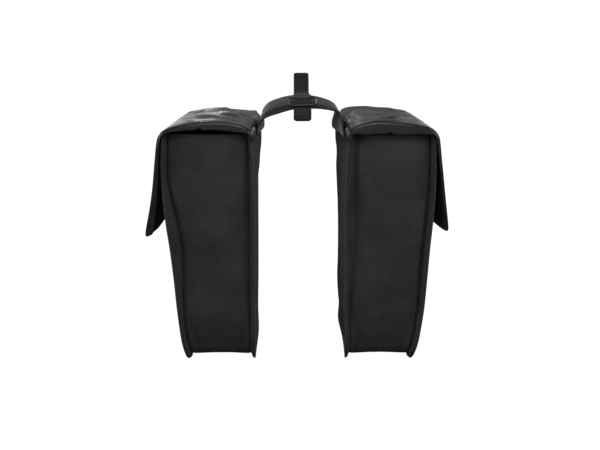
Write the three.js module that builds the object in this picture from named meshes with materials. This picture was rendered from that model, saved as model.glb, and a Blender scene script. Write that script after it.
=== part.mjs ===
// A joined pair of soft motorcycle saddlebags, standing upright on a floor.
// Millimetres. +Z is up, Y runs along the motorcycle, X across it.
// The origin is on the floor, under the middle of the pair.
//
// Each bag is a front panel (outer wall), a back panel (inner wall), a U-shaped
// gusset between them, and a lid that is sewn to the back, wraps over the top
// and hangs down the outer side as a loose flap. A wide yoke band joins the two
// bags, and a webbing strap with a three-bar slide lies along it.

import * as THREE from 'three';

// ---------------------------------------------------------------- sizes, mm

const WALL = 2;                 // thickness of every panel, gusset and lid
const YOKE_WALL = 2;            // thickness of the yoke band
const SEAM_GAP = 1.3;           // clearance left where two walls are sewn

const BAG_LENGTH = 340;         // panel edge to panel edge, along Y
const PANEL_TOP = 326;          // upper edge of both panels
const CORNER_R = 48;            // rounded lower corners of the panels
const LIP = 8;                  // how far a panel edge stands proud of the gusset
const LIP_ROLL = 12;            // width over which a panel edge rolls outwards
const FRONT_FLARE = 3.5;        // sideways roll of the front panel's edge
const BACK_FLARE = 3.2;         // sideways roll of the back panel's edge
const FRONT_BULGE = 7;          // fullness of the front panel at mid length

const GUSSET_TOP = 330;         // hemmed upper ends of the gusset
const GUSSET_EDGE_RISE = 2;     // gusset edge, above its base line, at the seam
const GUSSET_MIDDLE_RISE = 3;   // gusset fullness midway between the panels, at its ends
const GUSSET_BOTTOM_RISE = -1.1; // the same, along the bottom
const GUSSET_VALLEY = -3;       // crease along the outer seam, below the base line
const INNER_VALLEY = -4;        // hollow along the inner seam
const INNER_CREASE = { left: 4.8, right: 8 };   // that hollow, from the inner seam

const LID_HALF = 172.5;         // lid end, from the middle of the bag, along Y
const LID_BEND = 3.5;           // radius of the turned-down lid ends
const FLAP_DROP = 13;           // flap's lower edge, mid length below its corners

const TOE_OUT = 8;              // inner faces stand this much wider apart at the far end
const PULL_Y = 30;              // middle of the yoke's pull on the inner walls, along Y
const PULL_SPREAD = 95;

const YOKE_HALF = 85;           // half the yoke band's width, along Y
const YOKE_SWAY = 2.6;          // the crown of the yoke leans towards +X
const YOKE_HEM = 0.86;          // share of the half width where the edge turns down
const YOKE_FLARE = { left: 0, right: 46 };   // the band's near edge spreads where it is sewn

const STRAP_WIDTH = 25;
const STRAP_WALL = 1.5;
const STRAP_X = 4;              // strap and slide sit a little to the +X side
const SLIDE_TILT = THREE.MathUtils.degToRad(32);
const SLIDE_ROLL = THREE.MathUtils.degToRad(2);   // its +X end lies a little higher
const SLIDE_Y = -94;            // middle of the slide
const SLIDE_Z = 368.3;
const SLIDE_WIDTH = 38;         // along X
const SLIDE_HEIGHT = 22;        // along the strap
const SLIDE_DEPTH = 3;
const SLIDE_BAR = 3.5;          // width of each outer bar
const SLIDE_MID_BAR = 3;        // width of the middle bar
const SLIDE_CORNER = 4;
const STRAP_WEAVE = 3.8;        // strap passes this far over and under the bars

// ------------------------------------------------------------------ tables

// Front panel edge of each bag: distance from the middle plane at each height,
// and how far in from that edge the gusset's crease runs.
const FRONT_EDGE = [
  { z: 0, left: 159.6, right: 159, creaseLeft: 4.5, creaseRight: 5.5 },
  { z: 42, left: 166, right: 166.6, creaseLeft: 4.6, creaseRight: 6 },
  { z: 86, left: 170.7, right: 172.5, creaseLeft: 6.8, creaseRight: 6 },
  { z: 129, left: 174, right: 175.5, creaseLeft: 9.6, creaseRight: 6.2 },
  { z: 172, left: 178.2, right: 178.2, creaseLeft: 13, creaseRight: 6.1 },
  { z: 207, left: 182.6, right: 181, creaseLeft: 12, creaseRight: 5.4 },
  { z: 245, left: 185.8, right: 183.2, creaseLeft: 7.5, creaseRight: 4.5 },
  { z: 290, left: 186.6, right: 183.2, creaseLeft: 4.5, creaseRight: 4.5 },
  { z: 330, left: 184, right: 181.4, creaseLeft: 4.5, creaseRight: 4.5 },
];

// Back panel edge: distance from the middle plane at each height.
const BACK_EDGE = [
  { z: 0, edge: 65 },
  { z: 60, edge: 63.8 },
  { z: 150, edge: 63 },
  { z: 240, edge: 62.6 },
  { z: 290, edge: 63.8 },
  { z: 317, edge: 66.6 },
  { z: 330, edge: 66.8 },
];

// The yoke's pull on each inner wall, at each height.
const YOKE_PULL = [
  { z: 190, left: 0, right: 0 },
  { z: 230, left: 1, right: 1.3 },
  { z: 257, left: 4.8, right: 2.9 },
  { z: 287, left: 9, right: 8.2 },
  { z: 302, left: 10.6, right: 12.4 },
  { z: 318, left: 11.4, right: 14.4 },
  { z: 330, left: 11.4, right: 14.4 },
];

// Lid section, from the seam on the back, over the top, down to the flap's
// lower edge. arch: share of the crown; drop: share of the flap's longer middle;
// splay: share of the flap's lean on each bag; hem: depth of the turned-down far
// end, and hemLeft and hemRight of the near end.
const LID_SECTION = [
  { q: 63.9, z: 320.5, arch: 0, drop: 0, splay: 0, hem: 4, hemLeft: 4, hemRight: 4 },
  { q: 63.9, z: 327, arch: 0.03, drop: 0, splay: 0, hem: 4, hemLeft: 4, hemRight: 4 },
  { q: 66, z: 332.4, arch: 0.14, drop: 0, splay: 0, hem: 4.5, hemLeft: 5.5, hemRight: 6 },
  { q: 73, z: 334.8, arch: 0.42, drop: 0, splay: 0, hem: 5.5, hemLeft: 8.4, hemRight: 10.5 },
  { q: 87, z: 335.2, arch: 0.8, drop: 0, splay: 0, hem: 8, hemLeft: 10.8, hemRight: 14.6 },
  { q: 108, z: 335.2, arch: 1, drop: 0, splay: 0, hem: 9.5, hemLeft: 11.2, hemRight: 15.6 },
  { q: 134, z: 335.2, arch: 0.9, drop: 0, splay: 0, hem: 9, hemLeft: 9.2, hemRight: 15 },
  { q: 158, z: 335, arch: 0.62, drop: 0, splay: 0, hem: 7.5, hemLeft: 7.4, hemRight: 12 },
  { q: 174, z: 334.4, arch: 0.32, drop: 0, splay: 0.1, hem: 6, hemLeft: 5.6, hemRight: 9.2 },
  { q: 182.2, z: 331.8, arch: 0.12, drop: 0, splay: 0.25, hem: 5, hemLeft: 5, hemRight: 6.5 },
  { q: 186.6, z: 326.5, arch: 0.03, drop: 0, splay: 0.4, hem: 5, hemLeft: 5, hemRight: 5 },
  { q: 188.4, z: 318.5, arch: 0, drop: 0, splay: 0.45, hem: 5, hemLeft: 5.2, hemRight: 4.8 },
  { q: 190.2, z: 303, arch: 0, drop: 0.05, splay: 0.5, hem: 5, hemLeft: 5.6, hemRight: 4.6 },
  { q: 192.6, z: 283, arch: 0, drop: 0.15, splay: 0.55, hem: 5, hemLeft: 6.2, hemRight: 4.4 },
  { q: 195.4, z: 260, arch: 0, drop: 0.35, splay: 0.62, hem: 5, hemLeft: 7.2, hemRight: 4.2 },
  { q: 199.4, z: 232, arch: 0, drop: 0.65, splay: 0.8, hem: 5, hemLeft: 9, hemRight: 4.2 },
  { q: 203.6, z: 206, arch: 0, drop: 0.92, splay: 1, hem: 5, hemLeft: 10.4, hemRight: 4.2 },
  { q: 204.6, z: 196, arch: 0, drop: 1, splay: 1, hem: 5, hemLeft: 10.6, hemRight: 4.2 },
];

const FLAP_SPLAY = { left: 6.6, right: -2.4 };   // the two flaps hang differently
const FLAP_LONGER = { left: 6, right: -1.3 };

// Crown of the lid along the bag: low at the far end, fullest in the middle.
const LID_CROWN = [
  { y: -172.5, rise: 11 },
  { y: -150, rise: 12.6 },
  { y: -90, rise: 13.4 },
  { y: 0, rise: 12.4 },
  { y: 80, rise: 8.5 },
  { y: 140, rise: 4 },
  { y: 172.5, rise: 2 },
];

// Behind this line the inner part of each lid lies flatter: place along the bag
// at each distance from the middle plane.
const FACET_EDGE = [
  { q: 62, left: -60, right: -30 },
  { q: 88, left: -60, right: -22 },
  { q: 101, left: -40, right: 17 },
  { q: 105, left: -34, right: 36 },
  { q: 122, left: 32, right: 115 },
  { q: 138, left: 96, right: 172 },
];
const FACET_FALL = { left: 0.95, right: 0.7 };   // share of the crown lost there
const FACET_LIFT = { left: 0, right: 3.5 };      // height of that part above the lid's base
const FAR_DROOP = { left: 2.8, right: 2 };       // the lid's far outer corner sinks

// Folds in the top of each lid: a ridge from one point to another, given by
// distance from the middle plane and place along the bag, with its height and
// half width. A negative height is a hollow.
const LID_FOLDS = {
  left: [
    { q0: 70, y0: -110, q1: 128, y1: -70, height: 2.4, width: 15 },
    { q0: 70, y0: -60, q1: 150, y1: 10, height: 2.8, width: 16 },
    { q0: 112, y0: -10, q1: 140, y1: 60, height: -1.6, width: 18 },
    { q0: 118, y0: 70, q1: 168, y1: 110, height: 1.2, width: 18 },
    { q0: 70, y0: 172, q1: 88, y1: 172, height: -4.6, width: 22 },
  ],
  right: [
    { q0: 70, y0: -95, q1: 110, y1: -20, height: 2.6, width: 15 },
    { q0: 88, y0: -128, q1: 162, y1: -134, height: -2.2, width: 16 },
    { q0: 72, y0: -30, q1: 134, y1: 95, height: 0.8, width: 17 },
    { q0: 104, y0: -70, q1: 172, y1: -20, height: -2, width: 18 },
  ],
};

// Yoke band, half of its arch: height at the middle of its width, at its far
// edge, and at its near edge on either side, at each distance from the middle.
const YOKE_SECTION = [
  { q: 61.4, mid: 320.5, far: 320.5, nearLeft: 320.5, nearRight: 320.5 },
  { q: 61.3, mid: 327.5, far: 327, nearLeft: 325.5, nearRight: 328 },
  { q: 60.6, mid: 336, far: 335, nearLeft: 331, nearRight: 337.5 },
  { q: 57.6, mid: 345.5, far: 343.5, nearLeft: 337, nearRight: 346 },
  { q: 49.6, mid: 355.6, far: 351.8, nearLeft: 344.5, nearRight: 353.6 },
  { q: 33, mid: 362.9, far: 357.2, nearLeft: 350.4, nearRight: 357 },
  { q: 15, mid: 366.5, far: 360.4, nearLeft: 356, nearRight: 358 },
  { q: 0, mid: 367.3, far: 361.2, nearLeft: 357.8, nearRight: 357.8 },
];

// Middle line of the strap beyond the slide, along Y: the near end hangs, the
// far end leaves the yoke and stands up.
const STRAP_NEAR_END = [
  { y: -106.4, z: 341.4 },
  { y: -107.2, z: 347.4 },
  { y: -105.6, z: 353.6 },
];
const STRAP_FAR_END = [
  { y: -68, z: 374.8 },
  { y: -40, z: 373.2 },
  { y: 0, z: 371 },
  { y: 50, z: 369.4 },
  { y: 90, z: 366.8 },
  { y: 122, z: 365.8 },
  { y: 140, z: 371 },
  { y: 149, z: 383 },
  { y: 153, z: 397 },
];

// --------------------------------------------------------------- materials

const finish = (color, roughness, metalness = 0) =>
  new THREE.MeshStandardMaterial({ color, roughness, metalness });

const FABRIC = { color: 0x2a2a2a, roughness: 0.92 };
const LEATHER = { color: 0x151515, roughness: 0.45 };
const WEBBING = { color: 0x2c2c2c, roughness: 0.8 };
const METAL = { color: 0x0d0d0d, roughness: 0.22, metalness: 0.5 };

// ----------------------------------------------------------------- helpers

const clamp = THREE.MathUtils.clamp;
const ease = THREE.MathUtils.smoothstep;      // ease(x, from, to)

// A smooth function through one column of a table, constant past its ends.
function column(rows, key, name) {
  const x = rows.map((row) => row[key]);
  const y = rows.map((row) => row[name]);
  const last = x.length - 1;
  const slope = x.map((_, i) => {
    const a = Math.max(i - 1, 0);
    const b = Math.min(i + 1, last);
    return (y[b] - y[a]) / (x[b] - x[a]);
  });
  return (at) => {
    const p = clamp(at, x[0], x[last]);
    let i = 0;
    while (i < last - 1 && p > x[i + 1]) i += 1;
    const h = x[i + 1] - x[i];
    const t = (p - x[i]) / h;
    const t2 = t * t;
    const t3 = t2 * t;
    return (2 * t3 - 3 * t2 + 1) * y[i] + (t3 - 2 * t2 + t) * h * slope[i]
      + (3 * t2 - 2 * t3) * y[i + 1] + (t3 - t2) * h * slope[i + 1];
  };
}

// The same table with a running length added, so that a section can be walked.
function walked(rows, a, b) {
  let length = 0;
  return rows.map((row, i) => {
    if (i > 0) length += Math.hypot(row[a] - rows[i - 1][a], row[b] - rows[i - 1][b]);
    return { ...row, length };
  });
}

const steps = (from, to, count) =>
  Array.from({ length: count + 1 }, (_, i) => from + ((to - from) * i) / count);

// A closed wall of even thickness around the middle surface point(u, v), which
// is sampled at the stations us and vs. level, if given, may settle a vertex.
function wall(point, us, vs, thickness, level = null) {
  const rows = us.length;
  const cols = vs.length;
  const mid = us.map((u) => vs.map((v) => point(u, v)));
  const at = (i, j) => mid[clamp(i, 0, rows - 1)][clamp(j, 0, cols - 1)];
  const across = new THREE.Vector3();
  const along = new THREE.Vector3();
  const vertices = [];
  for (const sign of [1, -1]) {
    for (let i = 0; i < rows; i += 1) {
      for (let j = 0; j < cols; j += 1) {
        across.subVectors(at(i + 1, j), at(i - 1, j));
        along.subVectors(at(i, j + 1), at(i, j - 1));
        const p = across.cross(along).normalize()
          .multiplyScalar((sign * thickness) / 2).add(mid[i][j]);
        if (level) level(p, i, j);
        vertices.push(p.x, p.y, p.z);
      }
    }
  }
  const under = rows * cols;
  const id = (i, j) => i * cols + j;
  const faces = [];
  const quad = (a, b, c, d) => faces.push(a, b, c, a, c, d);
  for (let i = 0; i < rows - 1; i += 1) {
    for (let j = 0; j < cols - 1; j += 1) {
      quad(id(i, j), id(i + 1, j), id(i + 1, j + 1), id(i, j + 1));
      quad(under + id(i, j), under + id(i, j + 1), under + id(i + 1, j + 1), under + id(i + 1, j));
    }
  }
  for (let i = 0; i < rows - 1; i += 1) {
    quad(id(i, 0), under + id(i, 0), under + id(i + 1, 0), id(i + 1, 0));
    quad(id(i, cols - 1), id(i + 1, cols - 1), under + id(i + 1, cols - 1), under + id(i, cols - 1));
  }
  for (let j = 0; j < cols - 1; j += 1) {
    quad(id(0, j), id(0, j + 1), under + id(0, j + 1), under + id(0, j));
    quad(id(rows - 1, j), under + id(rows - 1, j), under + id(rows - 1, j + 1), id(rows - 1, j + 1));
  }
  return closed(vertices, faces);
}

// Geometry with its faces turned outwards.
function closed(vertices, faces) {
  const v = (k) => new THREE.Vector3().fromArray(vertices, 3 * k);
  let volume = 0;
  for (let f = 0; f < faces.length; f += 3) {
    volume += v(faces[f]).dot(v(faces[f + 1]).cross(v(faces[f + 2])));
  }
  if (volume < 0) {
    for (let f = 0; f < faces.length; f += 3) {
      [faces[f + 1], faces[f + 2]] = [faces[f + 2], faces[f + 1]];
    }
  }
  const geometry = new THREE.BufferGeometry();
  geometry.setAttribute('position', new THREE.Float32BufferAttribute(vertices, 3));
  geometry.setIndex(faces);
  geometry.computeVertexNormals();
  return geometry;
}

// ------------------------------------------------------------ panel shapes

const HALF = BAG_LENGTH / 2;
const CORNER_Y = HALF - CORNER_R;

const frontEdge = { left: column(FRONT_EDGE, 'z', 'left'), right: column(FRONT_EDGE, 'z', 'right') };
const backEdge = column(BACK_EDGE, 'z', 'edge');
const pull = { left: column(YOKE_PULL, 'z', 'left'), right: column(YOKE_PULL, 'z', 'right') };
const BACK_BULGE = { left: 2.5, right: 9 };   // fullness towards the other bag
const BACK_BELLY = {                          // and more of it along the bottom
  left: { depth: 3.7, y: -5, spread: 100 },
  right: { depth: 5.2, y: 55, spread: 75 },
};
const bell = (x, spread) => Math.exp(-((x / spread) ** 2));

// Sideways place of the inner wall: it stands wider at the far end, and the yoke
// pulls its upper part towards the other bag.
function inward(name, y, z) {
  const toe = TOE_OUT * clamp((y + HALF) / BAG_LENGTH, 0, 1);
  return toe - pull[name](z) * bell(y - PULL_Y, PULL_SPREAD);
}

// Distance of a point of a panel from the panel's own edge.
function fromEdge(y, z) {
  const ay = Math.abs(y);
  if (z < CORNER_R && ay > CORNER_Y) {
    return Math.max(CORNER_R - Math.hypot(ay - CORNER_Y, CORNER_R - z), 0);
  }
  return Math.min(HALF - ay, z);
}

const middle = (y) => Math.max(1 - (y / (HALF - LIP)) ** 2, 0);

function frontPanel(name, y, z) {
  const full = ease(z, LIP, 100) * (1 - 0.6 * ease(z, 210, PANEL_TOP));
  return frontEdge[name](z) - FRONT_FLARE * ease(fromEdge(y, z), 0, LIP_ROLL)
    + FRONT_BULGE * middle(y) * full;
}

function backPanel(name, y, z) {
  const full = ease(z, LIP, 90) * (1 - ease(z, 250, 312));
  const flare = BACK_FLARE * (1 - ease(z, 270, 316));
  const belly = BACK_BELLY[name];
  return backEdge(z) + inward(name, y, z) + flare * ease(fromEdge(y, z), 0, LIP_ROLL)
    - BACK_BULGE[name] * middle(y) * full
    - belly.depth * bell(y - belly.y, belly.spread) * (1 - ease(z, 15, 110));
}

// Stations of a panel: heights, closer together round the lower corners, and
// shares of its half length at each height.
const PANEL_HEIGHTS = [
  ...steps(0, Math.PI / 2, 5).map((a) => CORNER_R * (1 - Math.cos(a))),
  80, 122, 165, 208, 250, 290, 317, PANEL_TOP,
];
const PANEL_SHARES = [-1, -0.965, -0.925, -0.72, -0.48, -0.24, 0, 0.24, 0.48, 0.72, 0.925, 0.965, 1];

function halfLength(z) {
  if (z >= CORNER_R) return HALF;
  return CORNER_Y + Math.sqrt(CORNER_R ** 2 - (CORNER_R - z) ** 2);
}

function panel(side, distance) {
  const point = (z, share) => {
    const y = share * halfLength(z);
    return new THREE.Vector3(side * distance(y, z), y, z);
  };
  // the lower edge is flat on the floor, and the ends are square to it
  const level = (p, i) => { if (i === 0) p.z = 0; };
  return wall(point, PANEL_HEIGHTS, PANEL_SHARES, WALL, level);
}

// ------------------------------------------------------------ gusset shape

const BASE_R = CORNER_R - LIP;

// The gusset's base line: down the near end, along the bottom, up the far end.
const GUSSET_LINE = [
  ...[GUSSET_TOP, 292, 250, 207, 165, 122, 82].map((z) => ({ y: LIP - HALF, z, ny: -1, nz: 0 })),
  ...steps(0, Math.PI / 2, 5).map((a) => ({
    y: -CORNER_Y - BASE_R * Math.cos(a), z: CORNER_R - BASE_R * Math.sin(a),
    ny: -Math.cos(a), nz: -Math.sin(a),
  })),
  ...steps(-CORNER_Y, CORNER_Y, 5).slice(1, -1).map((y) => ({ y, z: LIP, ny: 0, nz: -1 })),
  ...steps(Math.PI / 2, 0, 5).map((a) => ({
    y: CORNER_Y + BASE_R * Math.cos(a), z: CORNER_R - BASE_R * Math.sin(a),
    ny: Math.cos(a), nz: -Math.sin(a),
  })),
  ...[82, 122, 165, 207, 250, 292, GUSSET_TOP].map((z) => ({ y: HALF - LIP, z, ny: 1, nz: 0 })),
];

function gusset(side, name) {
  const crease = column(FRONT_EDGE, 'z', name === 'left' ? 'creaseLeft' : 'creaseRight');
  const innerCrease = INNER_CREASE[name];
  const point = (k, share) => {
    const base = GUSSET_LINE[k];
    const edgeY = base.y + base.ny * GUSSET_EDGE_RISE;
    const edgeZ = Math.min(base.z + base.nz * GUSSET_EDGE_RISE, PANEL_TOP);
    const from = backPanel(name, edgeY, edgeZ) + WALL / 2 + SEAM_GAP;
    const to = frontPanel(name, edgeY, edgeZ) - WALL / 2 - SEAM_GAP;
    const width = to - from;
    const outerCrease = Math.max(crease(base.z) - 3, 4.5);
    const across = [0, innerCrease, innerCrease + 14, width * 0.42, width * 0.6,
      width - outerCrease - 13, width - outerCrease, width - outerCrease / 2, width];
    const settle = 1 - 0.55 * ease(base.z, 270, GUSSET_TOP);   // flatter at the hem
    const full = THREE.MathUtils.lerp(GUSSET_MIDDLE_RISE, GUSSET_BOTTOM_RISE, -base.nz);
    const flat = 1 - 0.8 * ease(-base.nz, 0.2, 1);             // no crease under the bag
    const rise = [GUSSET_EDGE_RISE, INNER_VALLEY * flat, 0.3 * full, full, full,
      0.3 * full, GUSSET_VALLEY * flat, 0.2, GUSSET_EDGE_RISE];
    const d = share === 0 || share === 8 ? rise[share] : rise[share] * settle;
    return new THREE.Vector3(side * (from + across[share]), base.y + base.ny * d, base.z + base.nz * d);
  };
  return wall(point, GUSSET_LINE.map((_, k) => k), steps(0, 8, 8), WALL);
}

// --------------------------------------------------------------- lid shape

const LID_ROWS = walked(LID_SECTION, 'q', 'z');
const LID_LENGTH = LID_ROWS[LID_ROWS.length - 1].length;
const lidQ = column(LID_ROWS, 'length', 'q');
const lidZ = column(LID_ROWS, 'length', 'z');
const lidArch = column(LID_ROWS, 'length', 'arch');
const lidDrop = column(LID_ROWS, 'length', 'drop');
const lidSplay = column(LID_ROWS, 'length', 'splay');
const lidHem = {
  far: column(LID_ROWS, 'length', 'hem'),
  left: column(LID_ROWS, 'length', 'hemLeft'),
  right: column(LID_ROWS, 'length', 'hemRight'),
};
const lidCrown = column(LID_CROWN, 'y', 'rise');
const facetEdge = { left: column(FACET_EDGE, 'q', 'left'), right: column(FACET_EDGE, 'q', 'right') };

function foldHeight(folds, q, y) {
  let height = 0;
  for (const fold of folds) {
    const dq = fold.q1 - fold.q0;
    const dy = fold.y1 - fold.y0;
    const t = clamp(((q - fold.q0) * dq + (y - fold.y0) * dy) / (dq * dq + dy * dy), 0, 1);
    const off = Math.hypot(q - fold.q0 - t * dq, y - fold.y0 - t * dy);
    height += fold.height * Math.exp(-((off / fold.width) ** 2)) * (0.55 + 0.45 * Math.sin(Math.PI * t));
  }
  return height;
}

// Section of the lid at a place along the bag, before its ends turn down.
function lidPoint(name, length, y) {
  const folds = LID_FOLDS[name];
  const plain = lidQ(length);
  const q = plain + FLAP_SPLAY[name] * lidSplay(length)
    + inward(name, y, PANEL_TOP) * (1 - ease(plain, 64, 150));
  const share = y / LID_HALF;
  const top = lidArch(length);
  const facet = ease(y - facetEdge[name](q), 0, 55) * (1 - ease(q, 112, 138));
  const rise = lidCrown(y) * (1 - FACET_FALL[name] * facet) + FACET_LIFT[name] * facet;
  const sunk = FAR_DROOP[name] * ease(y, 60, 165) * ease(plain, 140, 166) * (1 - ease(plain, 177, 187));
  const z = lidZ(length) + top * rise - sunk + foldHeight(folds, q, y) * Math.min(top * 1.6, 1)
    - lidDrop(length) * (FLAP_LONGER[name] + FLAP_DROP * (1 - share * share));
  return { q, z };
}

// Stations across the lid's length: place along Y, and how far turned down.
const LID_END = [
  { in: 0, down: 1 }, { in: 0, down: 0 }, { in: 0.293, down: -0.707 }, { in: 1, down: -1 },
];
const LID_STATIONS = [
  ...LID_END.map((e) => ({ y: -LID_HALF + e.in * LID_BEND, turn: e.down })),
  ...[-146, -116, -84, -52, -18, 18, 52, 84, 116, 146].map((y) => ({ y, turn: -1 })),
  ...LID_END.slice().reverse().map((e) => ({ y: LID_HALF - e.in * LID_BEND, turn: e.down })),
];

function lid(side, name) {
  const point = (length, k) => {
    const { y, turn } = LID_STATIONS[k];
    const p = lidPoint(name, length, y);
    const a = lidPoint(name, Math.max(length - 1, 0), y);
    const b = lidPoint(name, Math.min(length + 1, LID_LENGTH), y);
    const run = Math.hypot(b.q - a.q, b.z - a.z);
    const nq = -(b.z - a.z) / run;            // outward normal of the section
    const nz = (b.q - a.q) / run;
    const hem = Math.max(lidHem[y < 0 ? name : 'far'](length), LID_BEND + 0.3);
    const depth = turn > 0 ? hem : LID_BEND * (1 + turn);
    return new THREE.Vector3(side * (p.q - nq * depth), y, p.z - nz * depth);
  };
  const lengths = LID_ROWS.map((row) => row.length);
  return wall(point, lengths, LID_STATIONS.map((_, k) => k), WALL);
}

// -------------------------------------------------------------- yoke shape

const YOKE_ROWS = walked(YOKE_SECTION, 'q', 'mid');
const YOKE_LENGTH = YOKE_ROWS[YOKE_ROWS.length - 1].length;
const yokeQ = column(YOKE_ROWS, 'length', 'q');
const yokeMid = column(YOKE_ROWS, 'length', 'mid');
const yokeNear = {
  left: column(YOKE_ROWS, 'length', 'nearLeft'),
  right: column(YOKE_ROWS, 'length', 'nearRight'),
};
const yokeFar = column(YOKE_ROWS, 'length', 'far');

// How far a place across the band has drooped, from 0 in the middle to 1 at an edge.
function droop(share) {
  const a = Math.abs(share);
  return 0.5 * a * a + 0.5 * ease(a, YOKE_HEM, 1.02);
}

function yoke() {
  const point = (walk, share) => {
    const side = walk < 0 ? -1 : 1;
    const length = YOKE_LENGTH - Math.abs(walk);
    const mid = yokeMid(length);
    const name = side < 0 ? 'left' : 'right';
    const near = yokeNear[name](length);
    const edge = share < 0 ? near : yokeFar(length);
    const z = mid + (edge - mid) * droop(share);
    const spread = share < 0 ? YOKE_FLARE[name] * (1 - ease(z, 320, 346)) : 0;
    const y = share * (YOKE_HALF + spread);
    const q = yokeQ(length) + inward(name, y, PANEL_TOP) * (1 - ease(z, 326, 350));
    return new THREE.Vector3(side * q + YOKE_SWAY * ease(z, 332, 354), y, z);
  };
  const reach = YOKE_ROWS.map((row) => YOKE_LENGTH - row.length);
  const walks = [...reach.map((r) => -r), ...reach.slice(0, -1).reverse()];
  return wall(point, walks, [-1, -0.94, -0.86, -0.58, -0.28, 0, 0.28, 0.58, 0.86, 0.94, 1], YOKE_WALL);
}

// -------------------------------------------------------- strap and slide

const slideAlong = new THREE.Vector2(Math.cos(SLIDE_TILT), Math.sin(SLIDE_TILT));
const slideUp = new THREE.Vector2(-Math.sin(SLIDE_TILT), Math.cos(SLIDE_TILT));
const barPitch = (SLIDE_HEIGHT - SLIDE_BAR) / 2;

// The strap goes under the two outer bars of the slide and over the middle one.
function strapInSlide(s) {
  const up = Math.abs(s) < barPitch ? STRAP_WEAVE * Math.cos((Math.PI * s) / barPitch) : -STRAP_WEAVE;
  return new THREE.Vector3(0,
    SLIDE_Y + s * slideAlong.x + up * slideUp.x,
    SLIDE_Z + s * slideAlong.y + up * slideUp.y);
}

function strap() {
  const toPoint = (row) => new THREE.Vector3(0, row.y, row.z);
  const nearEnd = new THREE.CatmullRomCurve3([...STRAP_NEAR_END.map(toPoint), strapInSlide(-12), strapInSlide(-barPitch)]);
  const farEnd = new THREE.CatmullRomCurve3([strapInSlide(barPitch), strapInSlide(12), ...STRAP_FAR_END.map(toPoint)]);
  const line = [
    ...nearEnd.getSpacedPoints(6).slice(0, -1),
    ...steps(-barPitch, barPitch, 12).map(strapInSlide),
    ...farEnd.getSpacedPoints(20).slice(1),
  ];
  const point = (k, share) => line[k].clone().setX(STRAP_X + share * STRAP_WIDTH);
  return wall(point, line.map((_, k) => k), [-0.5, 0, 0.5], STRAP_WALL);
}

function roundedRectangle(path, w, h, r) {
  path.moveTo(-w / 2 + r, -h / 2);
  path.lineTo(w / 2 - r, -h / 2);
  path.absarc(w / 2 - r, -h / 2 + r, r, -Math.PI / 2, 0, false);
  path.lineTo(w / 2, h / 2 - r);
  path.absarc(w / 2 - r, h / 2 - r, r, 0, Math.PI / 2, false);
  path.lineTo(-w / 2 + r, h / 2);
  path.absarc(-w / 2 + r, h / 2 - r, r, Math.PI / 2, Math.PI, false);
  path.lineTo(-w / 2, -h / 2 + r);
  path.absarc(-w / 2 + r, -h / 2 + r, r, Math.PI, 1.5 * Math.PI, false);
  return path;
}

function slide() {
  const frame = roundedRectangle(new THREE.Shape(), SLIDE_WIDTH, SLIDE_HEIGHT, SLIDE_CORNER);
  const slotHeight = (SLIDE_HEIGHT - 2 * SLIDE_BAR - SLIDE_MID_BAR) / 2;
  const slotWidth = SLIDE_WIDTH - 2 * SLIDE_BAR;
  for (const sign of [-1, 1]) {
    const slot = roundedRectangle(new THREE.Path(), slotWidth, slotHeight, 1);
    const middleY = (sign * (SLIDE_MID_BAR + slotHeight)) / 2;
    const points = slot.getPoints(3).map((p) => new THREE.Vector2(p.x, p.y + middleY));
    frame.holes.push(new THREE.Path(points));
  }
  const geometry = new THREE.ExtrudeGeometry(frame, { depth: SLIDE_DEPTH, bevelEnabled: false, curveSegments: 4 });
  geometry.translate(0, 0, -SLIDE_DEPTH / 2);
  return geometry;
}

// --------------------------------------------------------------- assembly

const saddlebags = new THREE.Group();
saddlebags.name = 'saddlebags';

function add(name, geometry, look) {
  const mesh = new THREE.Mesh(geometry, finish(look.color, look.roughness, look.metalness));
  mesh.name = name;
  saddlebags.add(mesh);
  return mesh;
}

for (const [name, side] of [['left', -1], ['right', 1]]) {
  add(`${name}_front_panel`, panel(side, (y, z) => frontPanel(name, y, z)), FABRIC);
  add(`${name}_back_panel`, panel(side, (y, z) => backPanel(name, y, z)), FABRIC);
  add(`${name}_gusset`, gusset(side, name), FABRIC);
  add(`${name}_lid`, lid(side, name), LEATHER);
}

add('yoke_band', yoke(), LEATHER);
add('centre_strap', strap(), WEBBING);

const buckle = add('slide_buckle', slide(), METAL);
buckle.position.set(STRAP_X, SLIDE_Y, SLIDE_Z);
buckle.rotation.set(SLIDE_TILT, -SLIDE_ROLL, 0);

// the two flaps differ, so the middle plane of the pair is a little off centre
saddlebags.position.x = (FLAP_SPLAY.left - FLAP_SPLAY.right) / 2;

export default saddlebags;
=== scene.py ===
# A joined pair of black soft saddlebags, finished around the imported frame.
# Lengths inside the shape functions are millimetres; meshes are written in metres.

import math

import bmesh
import bpy
import numpy as np
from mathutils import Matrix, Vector


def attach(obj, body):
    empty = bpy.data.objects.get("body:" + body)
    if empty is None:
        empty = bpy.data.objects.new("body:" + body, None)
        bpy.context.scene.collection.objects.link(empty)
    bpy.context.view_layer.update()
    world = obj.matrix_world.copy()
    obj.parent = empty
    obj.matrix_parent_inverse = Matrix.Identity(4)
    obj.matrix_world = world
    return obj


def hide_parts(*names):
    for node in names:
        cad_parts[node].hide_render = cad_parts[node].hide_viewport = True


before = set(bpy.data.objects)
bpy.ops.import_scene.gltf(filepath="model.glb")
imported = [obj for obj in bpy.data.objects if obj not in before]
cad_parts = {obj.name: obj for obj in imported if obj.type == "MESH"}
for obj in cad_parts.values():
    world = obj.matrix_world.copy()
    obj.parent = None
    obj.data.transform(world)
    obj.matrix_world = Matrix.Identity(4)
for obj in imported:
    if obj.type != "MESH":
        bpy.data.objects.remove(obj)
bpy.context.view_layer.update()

MM = 0.001
SHIFT = 4.5                       # the pair's middle plane lies this far to +X

# ------------------------------------------------------------------ sizes, mm

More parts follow.
